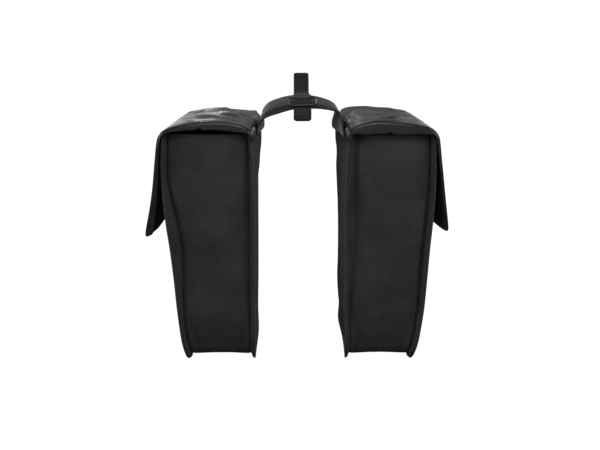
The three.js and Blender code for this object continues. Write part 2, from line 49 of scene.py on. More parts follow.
WALL = 2.0
BAG_LENGTH = 340.0
HALF = BAG_LENGTH / 2
PANEL_TOP = 326.0
CORNER_R = 48.0
CORNER_Y = HALF - CORNER_R
LIP = 8.0
LIP_ROLL = 12.0
BASE_R = CORNER_R - LIP
FRONT_FLARE = 3.5
BACK_FLARE = 3.2
FRONT_BULGE = 7.0
BACK_BULGE = {"left": 2.5, "right": 9.0}
BACK_BELLY = {"left": (3.7, -5.0, 100.0), "right": (5.2, 55.0, 75.0)}   # depth, y, spread

GUSSET_TOP = 330.0
GUSSET_WALL = 1.6
GUSSET_MIDDLE_RISE = 3.0
GUSSET_BOTTOM_RISE = -1.1
GUSSET_STEP = {"left": 3.2, "right": 2.8}       # drop from the outer seam's strip
GUSSET_TUCK = 8.0                                # the strip falls back above its lower corners
GUSSET_GROOVE = {"left": 7.4, "right": 7.0}     # the crease below that drop
GROOVE_SOFT = {"left": 2.6, "right": 1.6}       # wider in the crease's middle
FLANGE_RISE = 6.8                 # the gusset's seam allowance lies along the lip
FLANGE_OFF = 1.0 + 0.15 + GUSSET_WALL / 2
GUSSET_HEM = 11.0

LID_HALF = 172.5
LID_BEND = 3.5
FLAP_DROP = 13.0
FLAP_SPLAY = {"left": 6.6, "right": -2.4}
FLAP_LONGER = {"left": 6.0, "right": -1.3}
FLAP_CORNER = 5.5

TOE_OUT = 8.0
PULL_Y = 30.0
PULL_SPREAD = 95.0
YOKE_HALF = 85.0
YOKE_SWAY = 2.6
YOKE_HEM = 0.86
YOKE_FLARE = {"left": 0.0, "right": 46.0}

STRAP_WIDTH = 25.0
STRAP_X = 4.0
SLIDE_TILT = math.radians(32)
SLIDE_ROLL = math.radians(2)
SLIDE_Y = -94.0
SLIDE_Z = 368.3
SLIDE_WIDTH = 38.0
SLIDE_HEIGHT = 22.0
SLIDE_BAR = 3.5
STRAP_WEAVE = 3.8
BAR_PITCH = (SLIDE_HEIGHT - SLIDE_BAR) / 2

SIDES = (("left", -1), ("right", 1))

# --------------------------------------------------------------------- tables

# z, front edge left, front edge right, crease left, crease right
FRONT_EDGE = np.array([
    (0, 159.6, 159, 4.5, 5.5), (42, 166, 166.6, 4.6, 6), (86, 170.7, 172.5, 6.8, 6),
    (129, 174, 175.5, 9.6, 6.2), (172, 178.2, 178.2, 13, 6.1), (207, 182.6, 181, 12, 5.4),
    (245, 185.8, 183.2, 7.5, 4.5), (290, 186.6, 183.2, 4.5, 4.5), (330, 184, 181.4, 4.5, 4.5)], float)

# z, pull of the yoke on the left and on the right inner wall
YOKE_PULL = np.array([
    (190, 0, 0), (230, 1, 1.3), (257, 4.8, 2.9), (287, 9, 8.2), (302, 10.6, 12.4),
    (318, 11.4, 14.4), (330, 11.4, 14.4)], float)

# z, depth, place and half width of the hollow along the gusset's inner seam
INNER_HOLLOW = {
    "left": np.array([
        (0, 6, 0.2, 3.2), (60, 6, 0.2, 3.2), (90, 6, 0.3, 5), (125, 6.2, 0.4, 9),
        (200, 6.4, 0.4, 10.5), (265, 6.8, 0.4, 8), (300, 7, 0.4, 5), (330, 7, 0.4, 4)], float),
    "right": np.array([
        (0, 6, 0.2, 3), (95, 5.6, 0.3, 3.4), (125, 5.6, 2, 8), (160, 5.8, 4, 11),
        (200, 6.2, 6.2, 11), (250, 6.6, 6.8, 8), (290, 7, 6.4, 5.2), (330, 6, 6, 5)], float),
}

# z, back edge
BACK_EDGE = np.array([
    (0, 65), (60, 63.8), (150, 63), (240, 62.6), (290, 63.8), (317, 66.6), (330, 66.8)], float)

# q, z, arch, drop, splay, far hem, near hem left, near hem right
LID_SECTION = np.array([
    (63.9, 320.5, 0, 0, 0, 4, 4, 4), (63.9, 327, .03, 0, 0, 4, 4, 4),
    (66, 332.4, .14, 0, 0, 4.5, 5.5, 6), (73, 334.8, .42, 0, 0, 5.5, 8.4, 10.5),
    (87, 335.2, .8, 0, 0, 8, 10.8, 14.6), (108, 335.2, 1, 0, 0, 9.5, 11.2, 15.6),
    (134, 335.2, .9, 0, 0, 9, 9.2, 15), (158, 335, .62, 0, 0, 7.5, 7.4, 12),
    (174, 334.4, .32, 0, .1, 6, 5.6, 9.2), (182.2, 331.8, .12, 0, .25, 5, 5, 6.5),
    (186.6, 326.5, .03, 0, .4, 5, 5, 5), (188.4, 318.5, 0, 0, .45, 5, 5.2, 4.8),
    (190.2, 303, 0, .05, .5, 5, 5.6, 4.6), (192.6, 283, 0, .15, .55, 5, 6.2, 4.4),
    (195.4, 260, 0, .35, .62, 5, 7.2, 4.2), (199.4, 232, 0, .65, .8, 5, 9, 4.2),
    (203.6, 206, 0, .92, 1, 5, 10.4, 4.2), (204.6, 196, 0, 1, 1, 5, 10.6, 4.2)], float)

# y, rise of the lid's crown
LID_CROWN = np.array([
    (-172.5, 11), (-150, 12.6), (-90, 13.4), (0, 12.4), (80, 8.5), (140, 4), (172.5, 2)], float)

# behind this line the inner part of each lid lies flatter: q, y left, y right
FACET_EDGE = np.array([
    (62, -60, -30), (88, -60, -22), (101, -40, 17), (105, -34, 36), (122, 32, 115), (138, 96, 172)], float)
FACET_FALL = {"left": 0.95, "right": 0.7}      # share of the crown lost there
FACET_LIFT = {"left": 0.0, "right": 3.5}       # height of that part above the lid's base
FAR_DROOP = {"left": 2.8, "right": 2.0}        # the lid's far outer corner sinks

# main folds: q0, y0, q1, y1, height, half width
LID_FOLDS = {
    "left": [(70, -110, 128, -70, 2.4, 15), (70, -60, 150, 10, 2.8, 16),
             (112, -10, 140, 60, -1.6, 18), (118, 70, 168, 110, 1.2, 18), (70, 172, 88, 172, -4.6, 22)],
    "right": [(70, -95, 110, -20, 2.6, 15), (88, -128, 162, -134, -2.2, 16),
              (72, -30, 134, 95, 0.8, 17), (104, -70, 172, -20, -2, 18)],
}

# fine creases: path of (q, y), height, half width
LID_CREASES = {
    "left": [
        ([(66, -150), (90, -147), (107, -135), (122, -114), (140, -90), (158, -66)], 2.6, 9.0),
        ([(66, -96), (78, -95), (92, -92), (107, -60), (123, 0), (149, 80)], 2.4, 9.0),
        ([(66, -60), (88, -60), (105, -34), (122, 32)], 1.8, 8.0),
        ([(68, -122), (84, -122), (102, -112), (116, -85), (130, -48)], -1.8, 8.0),
        ([(66, -78), (79, -80), (94, -76), (115, -27)], -1.6, 7.0),
        ([(140, -10), (158, -7), (170, -2)], 1.2, 6.0),
        ([(140, -84), (156, -52), (170, -20)], 1.2, 7.0),
        ([(141, -160), (153, -138), (166, -96), (178, -50)], 1.4, 7.0),
        ([(134, -56), (148, -42), (160, -26)], -1.2, 6.0),
        ([(120, -140), (146, -112), (162, -84), (175, -60)], -1.4, 7.0),
        ([(120, 20), (146, 26), (168, 18)], -0.9, 7.0),
    ],
    "right": [
        ([(70, -60), (79, -34), (89, -20), (101, 17), (120, 110), (138, 165)], 2.3, 8.0),
        ([(72, -8), (79, -2), (88, 14), (102, 61), (120, 140)], -1.8, 9.0),
        ([(72, -120), (81, -88), (89, -66), (99, -36), (112, 0)], 1.1, 8.0),
        ([(69, -96), (76, -74), (85, -58), (96, -14)], -1.0, 7.0),
        ([(72, -158), (79, -130), (87, -108), (97, -80)], 1.0, 7.0),
        ([(71, -142), (78, -120), (86, -94)], -0.8, 6.0),
        ([(91, -165), (106, -164), (129, -158), (148, -150)], 1.7, 6.0),
        ([(120, -112), (143, -102), (159, -100), (172, -94)], 1.8, 7.0),
        ([(108, -126), (120, -124), (136, -126)], -1.4, 8.0),
        ([(150, 170), (164, 140), (174, 100)], 1.2, 7.0),
        ([(70, 50), (100, 104), (140, 122)], -1.0, 8.0),
        ([(120, 60), (146, 66), (168, 50)], 0.9, 7.0),
    ],
}

# q, depth added to the near hem of each lid
NEAR_HEM = {
    "left": np.array([(62, 0), (84, 0.4), (98, 0.3), (110, -0.6), (122, 0.4), (131, 0.2),
                      (136, -1.8), (141, 0.3), (152, -0.2), (166, 0.2), (182, 0)], float),
    "right": np.array([(62, 0), (90, 0.3), (106, 0), (116, -0.2), (121, -1.9), (126, 0.2),
                       (140, 0.4), (160, 0.2), (182, 0)], float),
}

# q, mid, far, near left, near right
YOKE_SECTION = np.array([
    (61.4, 320.5, 320.5, 320.5, 320.5), (61.3, 327.5, 327, 325.5, 328),
    (60.6, 336, 335, 331, 337.5), (57.6, 345.5, 343.5, 337, 346),
    (49.6, 355.6, 351.8, 344.5, 353.6), (33, 362.9, 357.2, 350.4, 357),
    (15, 366.5, 360.4, 356, 358), (0, 367.3, 361.2, 357.8, 357.8)], float)

# y, z along the strap, either side of the slide
STRAP_NEAR_END = [(-106.4, 341.4), (-107.2, 347.4), (-105.6, 353.6)]
STRAP_FAR_END = [(-68, 374.8), (-40, 373.2), (0, 371), (50, 369.4), (90, 366.8), (122, 365.8),
                 (140, 371), (149, 383), (153, 397)]

# -------------------------------------------------------------------- helpers


def ease(x, a, b):
    t = np.clip((np.asarray(x, float) - a) / (b - a), 0, 1)
    return t * t * (3 - 2 * t)


def column(x, y):
    """A smooth function through the points, constant past its ends."""
    x, y = np.asarray(x, float), np.asarray(y, float)
    n = len(x)
    a, b = np.maximum(np.arange(n) - 1, 0), np.minimum(np.arange(n) + 1, n - 1)
    m = (y[b] - y[a]) / (x[b] - x[a])

    def at(p):
        p = np.clip(np.asarray(p, float), x[0], x[-1])
        i = np.clip(np.searchsorted(x, p, side="left") - 1, 0, n - 2)
        h = x[i + 1] - x[i]
        t = (p - x[i]) / h
        t2, t3 = t * t, t * t * t
        return ((2 * t3 - 3 * t2 + 1) * y[i] + (t3 - 2 * t2 + t) * h * m[i]
                + (3 * t2 - 2 * t3) * y[i + 1] + (t3 - t2) * h * m[i + 1])

    return at


def walked(table, a, b):
    step = np.hypot(np.diff(table[:, a]), np.diff(table[:, b]))
    return np.concatenate([[0], np.cumsum(step)])


def noise(u, v, seed):
    """Smooth value noise from -1 to 1, one lattice cell a unit."""
    table = np.random.default_rng(seed).uniform(-1, 1, (61, 61))
    u, v = np.broadcast_arrays(np.asarray(u, float), np.asarray(v, float))
    i, j = np.floor(u).astype(int), np.floor(v).astype(int)
    s, t = u - i, v - j
    s, t = s ** 3 * (s * (6 * s - 15) + 10), t ** 3 * (t * (6 * t - 15) + 10)

    def k(a, b):
        return table[a % 61, b % 61]

    return ((k(i, j) * (1 - s) + k(i + 1, j) * s) * (1 - t)
            + (k(i, j + 1) * (1 - s) + k(i + 1, j + 1) * s) * t)


def fractal(u, v, seed, octaves=3):
    total, size = 0.0, 1.0
    for k in range(octaves):
        total = total + size * noise(u * 2 ** k + 7.3 * k, v * 2 ** k + 3.1 * k, seed + k)
        size *= 0.5
    return total


def unit(v):
    return v / np.maximum(np.linalg.norm(v, axis=-1, keepdims=True), 1e-9)


def put(name, verts, faces, uvs=None, material_index=None):
    """A smooth mesh object from points in mm, with its faces turned outwards."""
    mesh = bpy.data.meshes.new(name)
    mesh.from_pydata((np.asarray(verts) * MM).tolist(), [], [tuple(f) for f in faces])
    mesh.validate()
    if material_index is not None and len(material_index) == len(mesh.polygons):
        mesh.polygons.foreach_set("material_index", np.asarray(material_index, np.int32))
    if uvs is not None:
        index = np.zeros(len(mesh.loops), np.int32)
        mesh.loops.foreach_get("vertex_index", index)
        layer = mesh.uv_layers.new(name="cloth")
        layer.data.foreach_set("uv", (np.asarray(uvs)[index] * MM).astype(np.float32).ravel())
    bm = bmesh.new()
    bm.from_mesh(mesh)
    bmesh.ops.recalc_face_normals(bm, faces=bm.faces)
    bm.to_mesh(mesh)
    bm.free()
    mesh.polygons.foreach_set("use_smooth", np.ones(len(mesh.polygons), bool))
    mesh.update()
    obj = bpy.data.objects.new(name, mesh)
    bpy.context.scene.collection.objects.link(obj)
    return obj


class Sheet:
    """A sheet of even or varying thickness round a grid of points, with a rounded rim."""

    def __init__(self, grid, up, down, out, uv, rim=4):
        self.grid = np.asarray(grid, float)
        rows, cols = self.grid.shape[:2]
        self.up = np.broadcast_to(np.asarray(up, float), (rows, cols))
        self.down = np.broadcast_to(np.asarray(down, float), (rows, cols))
        self.uv = uv
        self.rim = rim
        n = np.cross(np.gradient(self.grid, axis=0), np.gradient(self.grid, axis=1))
        n = unit(n)
        self.flip = np.sum(n * out) < 0
        self.n = -n if self.flip else n

    def sample(self, r, c, under=False, lift=0.0):
        """Points and normals on the upper or under surface at fractional rows and columns."""
        rows, cols = self.grid.shape[:2]
        r, c = np.broadcast_arrays(np.asarray(r, float), np.asarray(c, float))
        r, c = np.clip(r, 0, rows - 1.001), np.clip(c, 0, cols - 1.001)
        i, j = r.astype(int), c.astype(int)
        s, t = (r - i)[..., None], (c - j)[..., None]
        sign = -1.0 if under else 1.0
        reach = (self.down if under else self.up)[..., None]
        surface = self.grid + sign * reach * self.n

        def mix(a):
            return ((a[i, j] * (1 - s) + a[i + 1, j] * s) * (1 - t)
                    + (a[i, j + 1] * (1 - s) + a[i + 1, j + 1] * s) * t)

        normal = unit(mix(self.n)) * sign
        return mix(surface) + normal * lift, normal

    def build(self, name, painted_light_underside=False):
        rows, cols = self.grid.shape[:2]
        g, n = self.grid, self.n
        top, bottom = g + n * self.up[..., None], g - n * self.down[..., None]
        loop = ([(0, j) for j in range(cols)] + [(i, cols - 1) for i in range(1, rows)]
                + [(rows - 1, j) for j in range(cols - 2, -1, -1)]
                + [(i, 0) for i in range(rows - 2, 0, -1)])
        li, lj = np.array([p[0] for p in loop]), np.array([p[1] for p in loop])
        b, bn = g[li, lj], n[li, lj]
        tangent = unit(np.roll(b, -1, axis=0) - np.roll(b, 1, axis=0))
        outward = unit(np.cross(tangent, bn))
        inside = g[np.clip(li, 1, rows - 2), np.clip(lj, 1, cols - 2)]
        outward *= np.sign(np.sum(outward * (b - inside), axis=1, keepdims=True))
        half = ((self.up + self.down) / 2)[li, lj][:, None]
        lean = ((self.up - self.down) / 2)[li, lj][:, None]
        centre = b + bn * lean - outward * half
        top[li, lj], bottom[li, lj] = centre + bn * half, centre - bn * half
        verts = [top.reshape(-1, 3), bottom.reshape(-1, 3)]
        uvs = [self.uv.reshape(-1, 2)] * 2
        for k in range(1, self.rim):
            a = math.pi * k / self.rim
            verts.append(centre + half * (math.cos(a) * bn + math.sin(a) * outward))
            uvs.append(self.uv[li, lj])
        index = np.arange(rows * cols).reshape(rows, cols)
        quads = np.stack([index[:-1, :-1], index[1:, :-1], index[1:, 1:], index[:-1, 1:]], -1).reshape(-1, 4)
        under = quads[:, ::-1] + rows * cols
        faces = [quads, under]
        edge = index[li, lj]
        rings = [edge] + [2 * rows * cols + len(loop) * (k - 1) + np.arange(len(loop)) for k in range(1, self.rim)]
        rings.append(edge + rows * cols)
        for a, c in zip(rings[:-1], rings[1:]):
            faces.append(np.stack([a, c, np.roll(c, -1), np.roll(a, -1)], -1))
        # with the flag set, the under faces take the second material, a lighter cloth of painted light
        kinds = np.concatenate([np.full(len(f), 1 if painted_light_underside and k == 1 else 0) for k, f in enumerate(faces)])
        faces = np.concatenate(faces)
        return put(name, np.concatenate(verts), faces.tolist(), np.concatenate(uvs), kinds)


def world_x(side, q):
    return side * q + SHIFT


def smooth_line(points, count):
    """Evenly spaced points on a smooth curve through the given ones."""
    p = np.asarray(points, float)
    p = np.vstack([2 * p[0] - p[1], p, 2 * p[-1] - p[-2]])
    out = []
    for i in range(1, len(p) - 2):
        a, b, c, d = p[i - 1:i + 3]
        t0, t1, t2 = (max(np.linalg.norm(v) ** 0.5, 1e-6) for v in (b - a, c - b, d - c))
        m1 = ((b - a) / t0 - (c - a) / (t0 + t1) + (c - b) / t1) * t1
        m2 = ((c - b) / t1 - (d - b) / (t1 + t2) + (d - c) / t2) * t1
        for u in np.linspace(0, 1, 24, endpoint=False):
            out.append((2 * u ** 3 - 3 * u ** 2 + 1) * b + (u ** 3 - 2 * u ** 2 + u) * m1
                       + (3 * u ** 2 - 2 * u ** 3) * c + (u ** 3 - u ** 2) * m2)
    out.append(p[-2])
    return respaced(np.array(out), count)


def respaced(line, count):
    s = np.concatenate([[0], np.cumsum(np.linalg.norm(np.diff(line, axis=0), axis=1))])
    at = np.linspace(0, s[-1], count)
    return np.stack([np.interp(at, s, line[:, k]) for k in range(line.shape[1])], 1)


def stitch_mesh(name, runs, length=3.3, pitch=4.6, radius=0.36):
    """Rows of single stitches, each a short arched thread, along runs of (points, normals)."""
    rings = [(-0.86, 0.55), (-0.4, 0.95), (0.4, 0.95), (0.86, 0.55)]
    sides = 5
    verts, faces = [], []
    for points, normals in runs:
        s = np.concatenate([[0], np.cumsum(np.linalg.norm(np.diff(points, axis=0), axis=1))])
        count = int(s[-1] // pitch)
        if count < 1:
            continue
        gap = s[-1] / count

        def at(x, data):
            return np.stack([np.interp(x, s, data[:, k]) for k in range(3)], 1)

        centre = (np.arange(count) + 0.5) * gap
        half = length / 2
        a, b = at(centre - half, points), at(centre + half, points)
        n = unit(at(centre, normals))
        mid, along = (a + b) / 2, unit(b - a)
        across = unit(np.cross(n, along))
        n = np.cross(along, across)
        mid = 0.5 * mid + 0.5 * at(centre, points)
        for k in range(count):
            first = sum(len(v) for v in verts)
            block = [mid[k] - along[k] * half * 1.04 - n[k] * radius * 0.7]
            for place, fat in rings:
                base = mid[k] + along[k] * half * place + n[k] * radius * (0.42 - 0.75 * place * place)
                for m in range(sides):
                    t = 2 * math.pi * m / sides
                    block.append(base + radius * fat * (math.cos(t) * across[k] * 1.15 + math.sin(t) * n[k]))
            block.append(mid[k] + along[k] * half * 1.04 - n[k] * radius * 0.7)
            verts.append(np.array(block))
            for m in range(sides):
                w = (m + 1) % sides
                faces.append((first, first + 1 + w, first + 1 + m))
                for r in range(len(rings) - 1):
                    lo, hi = first + 1 + r * sides, first + 1 + (r + 1) * sides
                    faces.append((lo + m, lo + w, hi + w, hi + m))
                lo, tip = first + 1 + (len(rings) - 1) * sides, first + 1 + len(rings) * sides
                faces.append((lo + m, lo + w, tip))
    return put(name, np.concatenate(verts), faces)


# ------------------------------------------------------------------ materials


def material(name):
    mat = bpy.data.materials.new(name)
    mat.use_nodes = True
    tree = mat.node_tree
    shader = tree.nodes["Principled BSDF"]
    return mat, tree, shader


def node(tree, kind, values=None, **settings):
    made = tree.nodes.new(kind)
    for key, value in settings.items():
        setattr(made, key, value)
    for key, value in (values or {}).items():
        made.inputs[key].default_value = value
    return made


def mixed(tree, low, high, by):
    """A colour between two greys or colours."""
    mix = tree.nodes.new("ShaderNodeMix")
    mix.data_type = "RGBA"
    mix.inputs[6].default_value = (*low, 1)
    mix.inputs[7].default_value = (*high, 1)
    tree.links.new(by, mix.inputs[0])
    return mix.outputs[2]


def mapped(tree, value, low, high, start=0.0, end=1.0):
    m = node(tree, "ShaderNodeMapRange", {"From Min": start, "From Max": end, "To Min": low, "To Max": high})
    tree.links.new(value, m.inputs["Value"])
    return m.outputs["Result"]


def math_node(tree, op, a, b=None):
    m = node(tree, "ShaderNodeMath", operation=op)
    for k, x in enumerate((a, b)):
        if x is None:
            continue
        if isinstance(x, (int, float)):
            m.inputs[k].default_value = x
        else:
            tree.links.new(x, m.inputs[k])
    return m.outputs[0]


def bumped(tree, shader, height, distance, strength, after=None):
    b = node(tree, "ShaderNodeBump", {"Strength": strength, "Distance": distance})
    tree.links.new(height, b.inputs["Height"])
    if after is not None:
        tree.links.new(after, b.inputs["Normal"])
    tree.links.new(b.outputs["Normal"], shader.inputs["Normal"])
    return b.outputs["Normal"]


def woven(name, low, high, pitch, rough=(0.82, 0.95), sheen=0.25, strength=0.35, ribs=False):
    """Plain woven cloth: two sets of threads over and under each other."""
    mat, tree, shader = material(name)
    uv = node(tree, "ShaderNodeUVMap", uv_map="cloth")
    place = node(tree, "ShaderNodeTexCoord").outputs["Object"]
    parts = tree.nodes.new("ShaderNodeSeparateXYZ")
    tree.links.new(uv.outputs["UV"], parts.inputs[0])
    turn = 2 * math.pi / pitch
    wobble = node(tree, "ShaderNodeTexNoise", {"Scale": 260.0, "Detail": 2.0})
    tree.links.new(place, wobble.inputs["Vector"])
    drift = math_node(tree, "MULTIPLY", wobble.outputs["Fac"], 1.6)
    a = math_node(tree, "SINE", math_node(tree, "ADD", math_node(tree, "MULTIPLY", parts.outputs[0], turn), drift))
    b = math_node(tree, "SINE", math_node(tree, "ADD", math_node(tree, "MULTIPLY", parts.outputs[1], turn * (0.5 if ribs else 1.0)), drift))
    weave = math_node(tree, "MULTIPLY", a, b)
    if ribs:
        weave = math_node(tree, "ADD", math_node(tree, "MULTIPLY", weave, 0.6), math_node(tree, "ABSOLUTE", a))
    cloudy = node(tree, "ShaderNodeTexNoise", {"Scale": 14.0, "Detail": 5.0, "Roughness": 0.6})
    fine = node(tree, "ShaderNodeTexNoise", {"Scale": 900.0, "Detail": 2.0})
    for n in (cloudy, fine):
        tree.links.new(place, n.inputs["Vector"])
    tone = math_node(tree, "ADD", mapped(tree, cloudy.outputs["Fac"], 0.0, 0.75, 0.3, 0.7),
                     math_node(tree, "MULTIPLY", weave, 0.12))
    tone = math_node(tree, "ADD", tone, mapped(tree, fine.outputs["Fac"], -0.2, 0.25))
    tree.links.new(mixed(tree, low, high, tone), shader.inputs["Base Color"])
    tree.links.new(mapped(tree, cloudy.outputs["Fac"], rough[1], rough[0], 0.3, 0.7), shader.inputs["Roughness"])
    height = math_node(tree, "ADD", weave, math_node(tree, "MULTIPLY", fine.outputs["Fac"], 0.8))
    bumped(tree, shader, height, 0.00018, strength)
    shader.inputs["Specular IOR Level"].default_value = 0.2
    shader.inputs["Sheen Weight"].default_value = sheen
    shader.inputs["Sheen Roughness"].default_value = 0.5
    shader.inputs["Sheen Tint"].default_value = (0.8, 0.82, 0.86, 1)
    return mat


def leather(name, low, high, rough, specular=0.5, grain=0.3, coat=0.0):
    """Coated leather-like sheet: fine pebbled grain, faint creasing, uneven shine."""
    mat, tree, shader = material(name)
    place = node(tree, "ShaderNodeTexCoord").outputs["Object"]
    pebble = node(tree, "ShaderNodeTexVoronoi", {"Scale": 720.0, "Randomness": 1.0}, feature="SMOOTH_F1")
    pores = node(tree, "ShaderNodeTexNoise", {"Scale": 1500.0, "Detail": 2.0})
    creased = node(tree, "ShaderNodeTexNoise", {"Scale": 120.0, "Detail": 6.0, "Roughness": 0.62, "Distortion": 0.6})
    cloudy = node(tree, "ShaderNodeTexNoise", {"Scale": 22.0, "Detail": 4.0, "Roughness": 0.6})
    for n in (pebble, pores, creased, cloudy):
        tree.links.new(place, n.inputs["Vector"])
    tone = math_node(tree, "ADD", mapped(tree, cloudy.outputs["Fac"], 0.0, 0.7, 0.3, 0.7),
                     mapped(tree, pebble.outputs["Distance"], 0.25, -0.1))
    tree.links.new(mixed(tree, low, high, tone), shader.inputs["Base Color"])
    shine = math_node(tree, "ADD", mapped(tree, cloudy.outputs["Fac"], rough[0], rough[1], 0.3, 0.7),
                      mapped(tree, pores.outputs["Fac"], -0.04, 0.04))
    tree.links.new(shine, shader.inputs["Roughness"])
    broad = bumped(tree, shader, creased.outputs["Fac"], 0.0006, 0.1)
    height = math_node(tree, "ADD", math_node(tree, "MULTIPLY", pebble.outputs["Distance"], -1.0),
                       math_node(tree, "MULTIPLY", pores.outputs["Fac"], 0.3))
    bumped(tree, shader, height, 0.00025, grain, after=broad)
    shader.inputs["Specular IOR Level"].default_value = specular
    shader.inputs["Coat Weight"].default_value = coat
    shader.inputs["Coat Roughness"].default_value = 0.3
    return mat


def enamel(name):
    """Glossy black enamelled wire with faint scuffs."""
    mat, tree, shader = material(name)
    place = node(tree, "ShaderNodeTexCoord").outputs["Object"]
    scuff = node(tree, "ShaderNodeTexNoise", {"Scale": 420.0, "Detail": 5.0, "Roughness": 0.7})
    tree.links.new(place, scuff.inputs["Vector"])
    tree.links.new(mixed(tree, (0.004, 0.004, 0.0045), (0.012, 0.012, 0.013), mapped(tree, scuff.outputs["Fac"], 0, 1, 0.35, 0.75)),
                   shader.inputs["Base Color"])
    tree.links.new(mapped(tree, scuff.outputs["Fac"], 0.06, 0.16, 0.35, 0.75), shader.inputs["Roughness"])
    bumped(tree, shader, scuff.outputs["Fac"], 0.00004, 0.15)
    shader.inputs["Specular IOR Level"].default_value = 0.4
    shader.inputs["Coat Weight"].default_value = 0.4
    shader.inputs["Coat Roughness"].default_value = 0.04
    return mat


def threaded(name, low, high):
    """Twisted sewing thread."""
    mat, tree, shader = material(name)
    place = node(tree, "ShaderNodeTexCoord").outputs["Object"]
    ply = node(tree, "ShaderNodeTexNoise", {"Scale": 2600.0, "Detail": 2.0})
    tree.links.new(place, ply.inputs["Vector"])
    tree.links.new(mixed(tree, low, high, ply.outputs["Fac"]), shader.inputs["Base Color"])
    tree.links.new(mapped(tree, ply.outputs["Fac"], 0.5, 0.75), shader.inputs["Roughness"])
    bumped(tree, shader, ply.outputs["Fac"], 0.0001, 0.4)
    shader.inputs["Sheen Weight"].default_value = 0.2
    return mat


FABRIC = woven("bag_fabric", (0.028, 0.028, 0.0285), (0.059, 0.059, 0.0595), 0.00095, sheen=0.1)
# the panels are the gusset's cloth made lighter: painted sheen standing in for the bright grazing reflection on the
# inner walls and lips
PANEL_FABRIC_PAINTED_SHEEN = woven("panel_fabric_painted_sheen", (0.055, 0.055, 0.0555), (0.076, 0.076, 0.0765), 0.00095, sheen=0.1)
# the lid's underside lining: its light grey is partly painted fill light, lifting the shaded gap under the flap
LID_LINING_PAINTED_FILL = woven("lid_lining_painted_fill", (0.10, 0.10, 0.101), (0.14, 0.14, 0.141), 0.0011, sheen=0.02, strength=0.25)
LID_LEATHER = leather("lid_leather", (0.008, 0.008, 0.0085), (0.016, 0.016, 0.0165), (0.24, 0.34), grain=0.16)
YOKE_LEATHER = leather("yoke_leather", (0.010, 0.010, 0.0105), (0.019, 0.019, 0.0195), (0.5, 0.6))
WEBBING = woven("strap_webbing", (0.021, 0.021, 0.0215), (0.034, 0.034, 0.0345), 0.0016, rough=(0.62, 0.78), sheen=0.03, strength=0.5, ribs=True)
# the yoke's underside is light grey as painted reflection: it stands in for the bright surround that the satin strap
# mirrors at its ends
YOKE_UNDERSIDE_PAINTED_REFLECTION = woven("yoke_underside_painted_reflection", (0.34, 0.34, 0.342), (0.42, 0.42, 0.422), 0.0011, sheen=0.1, strength=0.25)
METAL = enamel("slide_metal")
THREAD = threaded("thread", (0.012, 0.012, 0.012), (0.034, 0.034, 0.035))


def finish_piece(obj, slot, *mats):
    for m in mats:
        obj.data.materials.append(m)
    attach(obj, "root")
    return obj


# --------------------------------------------------------------- panel shapes

front_edge = {"left": column(FRONT_EDGE[:, 0], FRONT_EDGE[:, 1]), "right": column(FRONT_EDGE[:, 0], FRONT_EDGE[:, 2])}
crease_in = {"left": column(FRONT_EDGE[:, 0], FRONT_EDGE[:, 3]), "right": column(FRONT_EDGE[:, 0], FRONT_EDGE[:, 4])}
pull_at = {"left": column(YOKE_PULL[:, 0], YOKE_PULL[:, 1]), "right": column(YOKE_PULL[:, 0], YOKE_PULL[:, 2])}
back_edge = column(BACK_EDGE[:, 0], BACK_EDGE[:, 1])


def inward(name, y, z):
    toe = TOE_OUT * np.clip((y + HALF) / BAG_LENGTH, 0, 1)
    return toe - pull_at[name](z) * np.exp(-(((y - PULL_Y) / PULL_SPREAD) ** 2))


def from_edge(y, z):
    ay = np.abs(y)
    corner = np.maximum(CORNER_R - np.hypot(ay - CORNER_Y, CORNER_R - z), 0)
    return np.where((z < CORNER_R) & (ay > CORNER_Y), corner, np.minimum(HALF - ay, z))


def middle(y):
    return np.maximum(1 - (y / (HALF - LIP)) ** 2, 0)


def front_panel(name, y, z):
    full = ease(z, LIP, 100) * (1 - 0.6 * ease(z, 210, PANEL_TOP))
    return (front_edge[name](z) - FRONT_FLARE * ease(from_edge(y, z), 0, LIP_ROLL)
            + FRONT_BULGE * middle(y) * full)


def back_panel(name, y, z):
    full = ease(z, LIP, 90) * (1 - ease(z, 250, 312))
    flare = BACK_FLARE * (1 - ease(z, 270, 316))
    deep, at_y, spread = BACK_BELLY[name]
    return (back_edge(z) + inward(name, y, z) + flare * ease(from_edge(y, z), 0, LIP_ROLL)
            - BACK_BULGE[name] * middle(y) * full
            - deep * np.exp(-(((y - at_y) / spread) ** 2)) * (1 - ease(z, 15, 110)))


def half_length(z):
    z = np.asarray(z, float)
    rounded = CORNER_Y + np.sqrt(np.maximum(CORNER_R ** 2 - (CORNER_R - np.minimum(z, CORNER_R)) ** 2, 0))
    return np.where(z >= CORNER_R, HALF, rounded)


PANEL_HEIGHTS = np.concatenate([
    CORNER_R * (1 - np.cos(np.linspace(0, math.pi / 2, 19)[1:-1])),
    np.linspace(CORNER_R, PANEL_TOP, 92)])
PANEL_HEIGHTS = np.concatenate([[0.0], PANEL_HEIGHTS[PANEL_HEIGHTS > 1.3]])
PANEL_SHARES = np.concatenate([
    [-1, -0.991, -0.982, -0.972, -0.962, -0.951, -0.939, -0.925], np.linspace(-0.91, 0.91, 76),
    [0.925, 0.939, 0.951, 0.962, 0.972, 0.982, 0.991, 1]])


def seam_pucker(along, away, seed):
    """Small gathers that a line of stitching draws into cloth, dying away from it."""
    wave = np.sin(2 * math.pi * along / 9.5 + 2.4 * noise(along / 23, seed * 0.7, seed))
    return wave * (0.6 + 0.4 * noise(along / 41, 0.3, seed + 1)) * np.exp(-np.maximum(away - 8, 0) / 7) * ease(away, 4, 9)


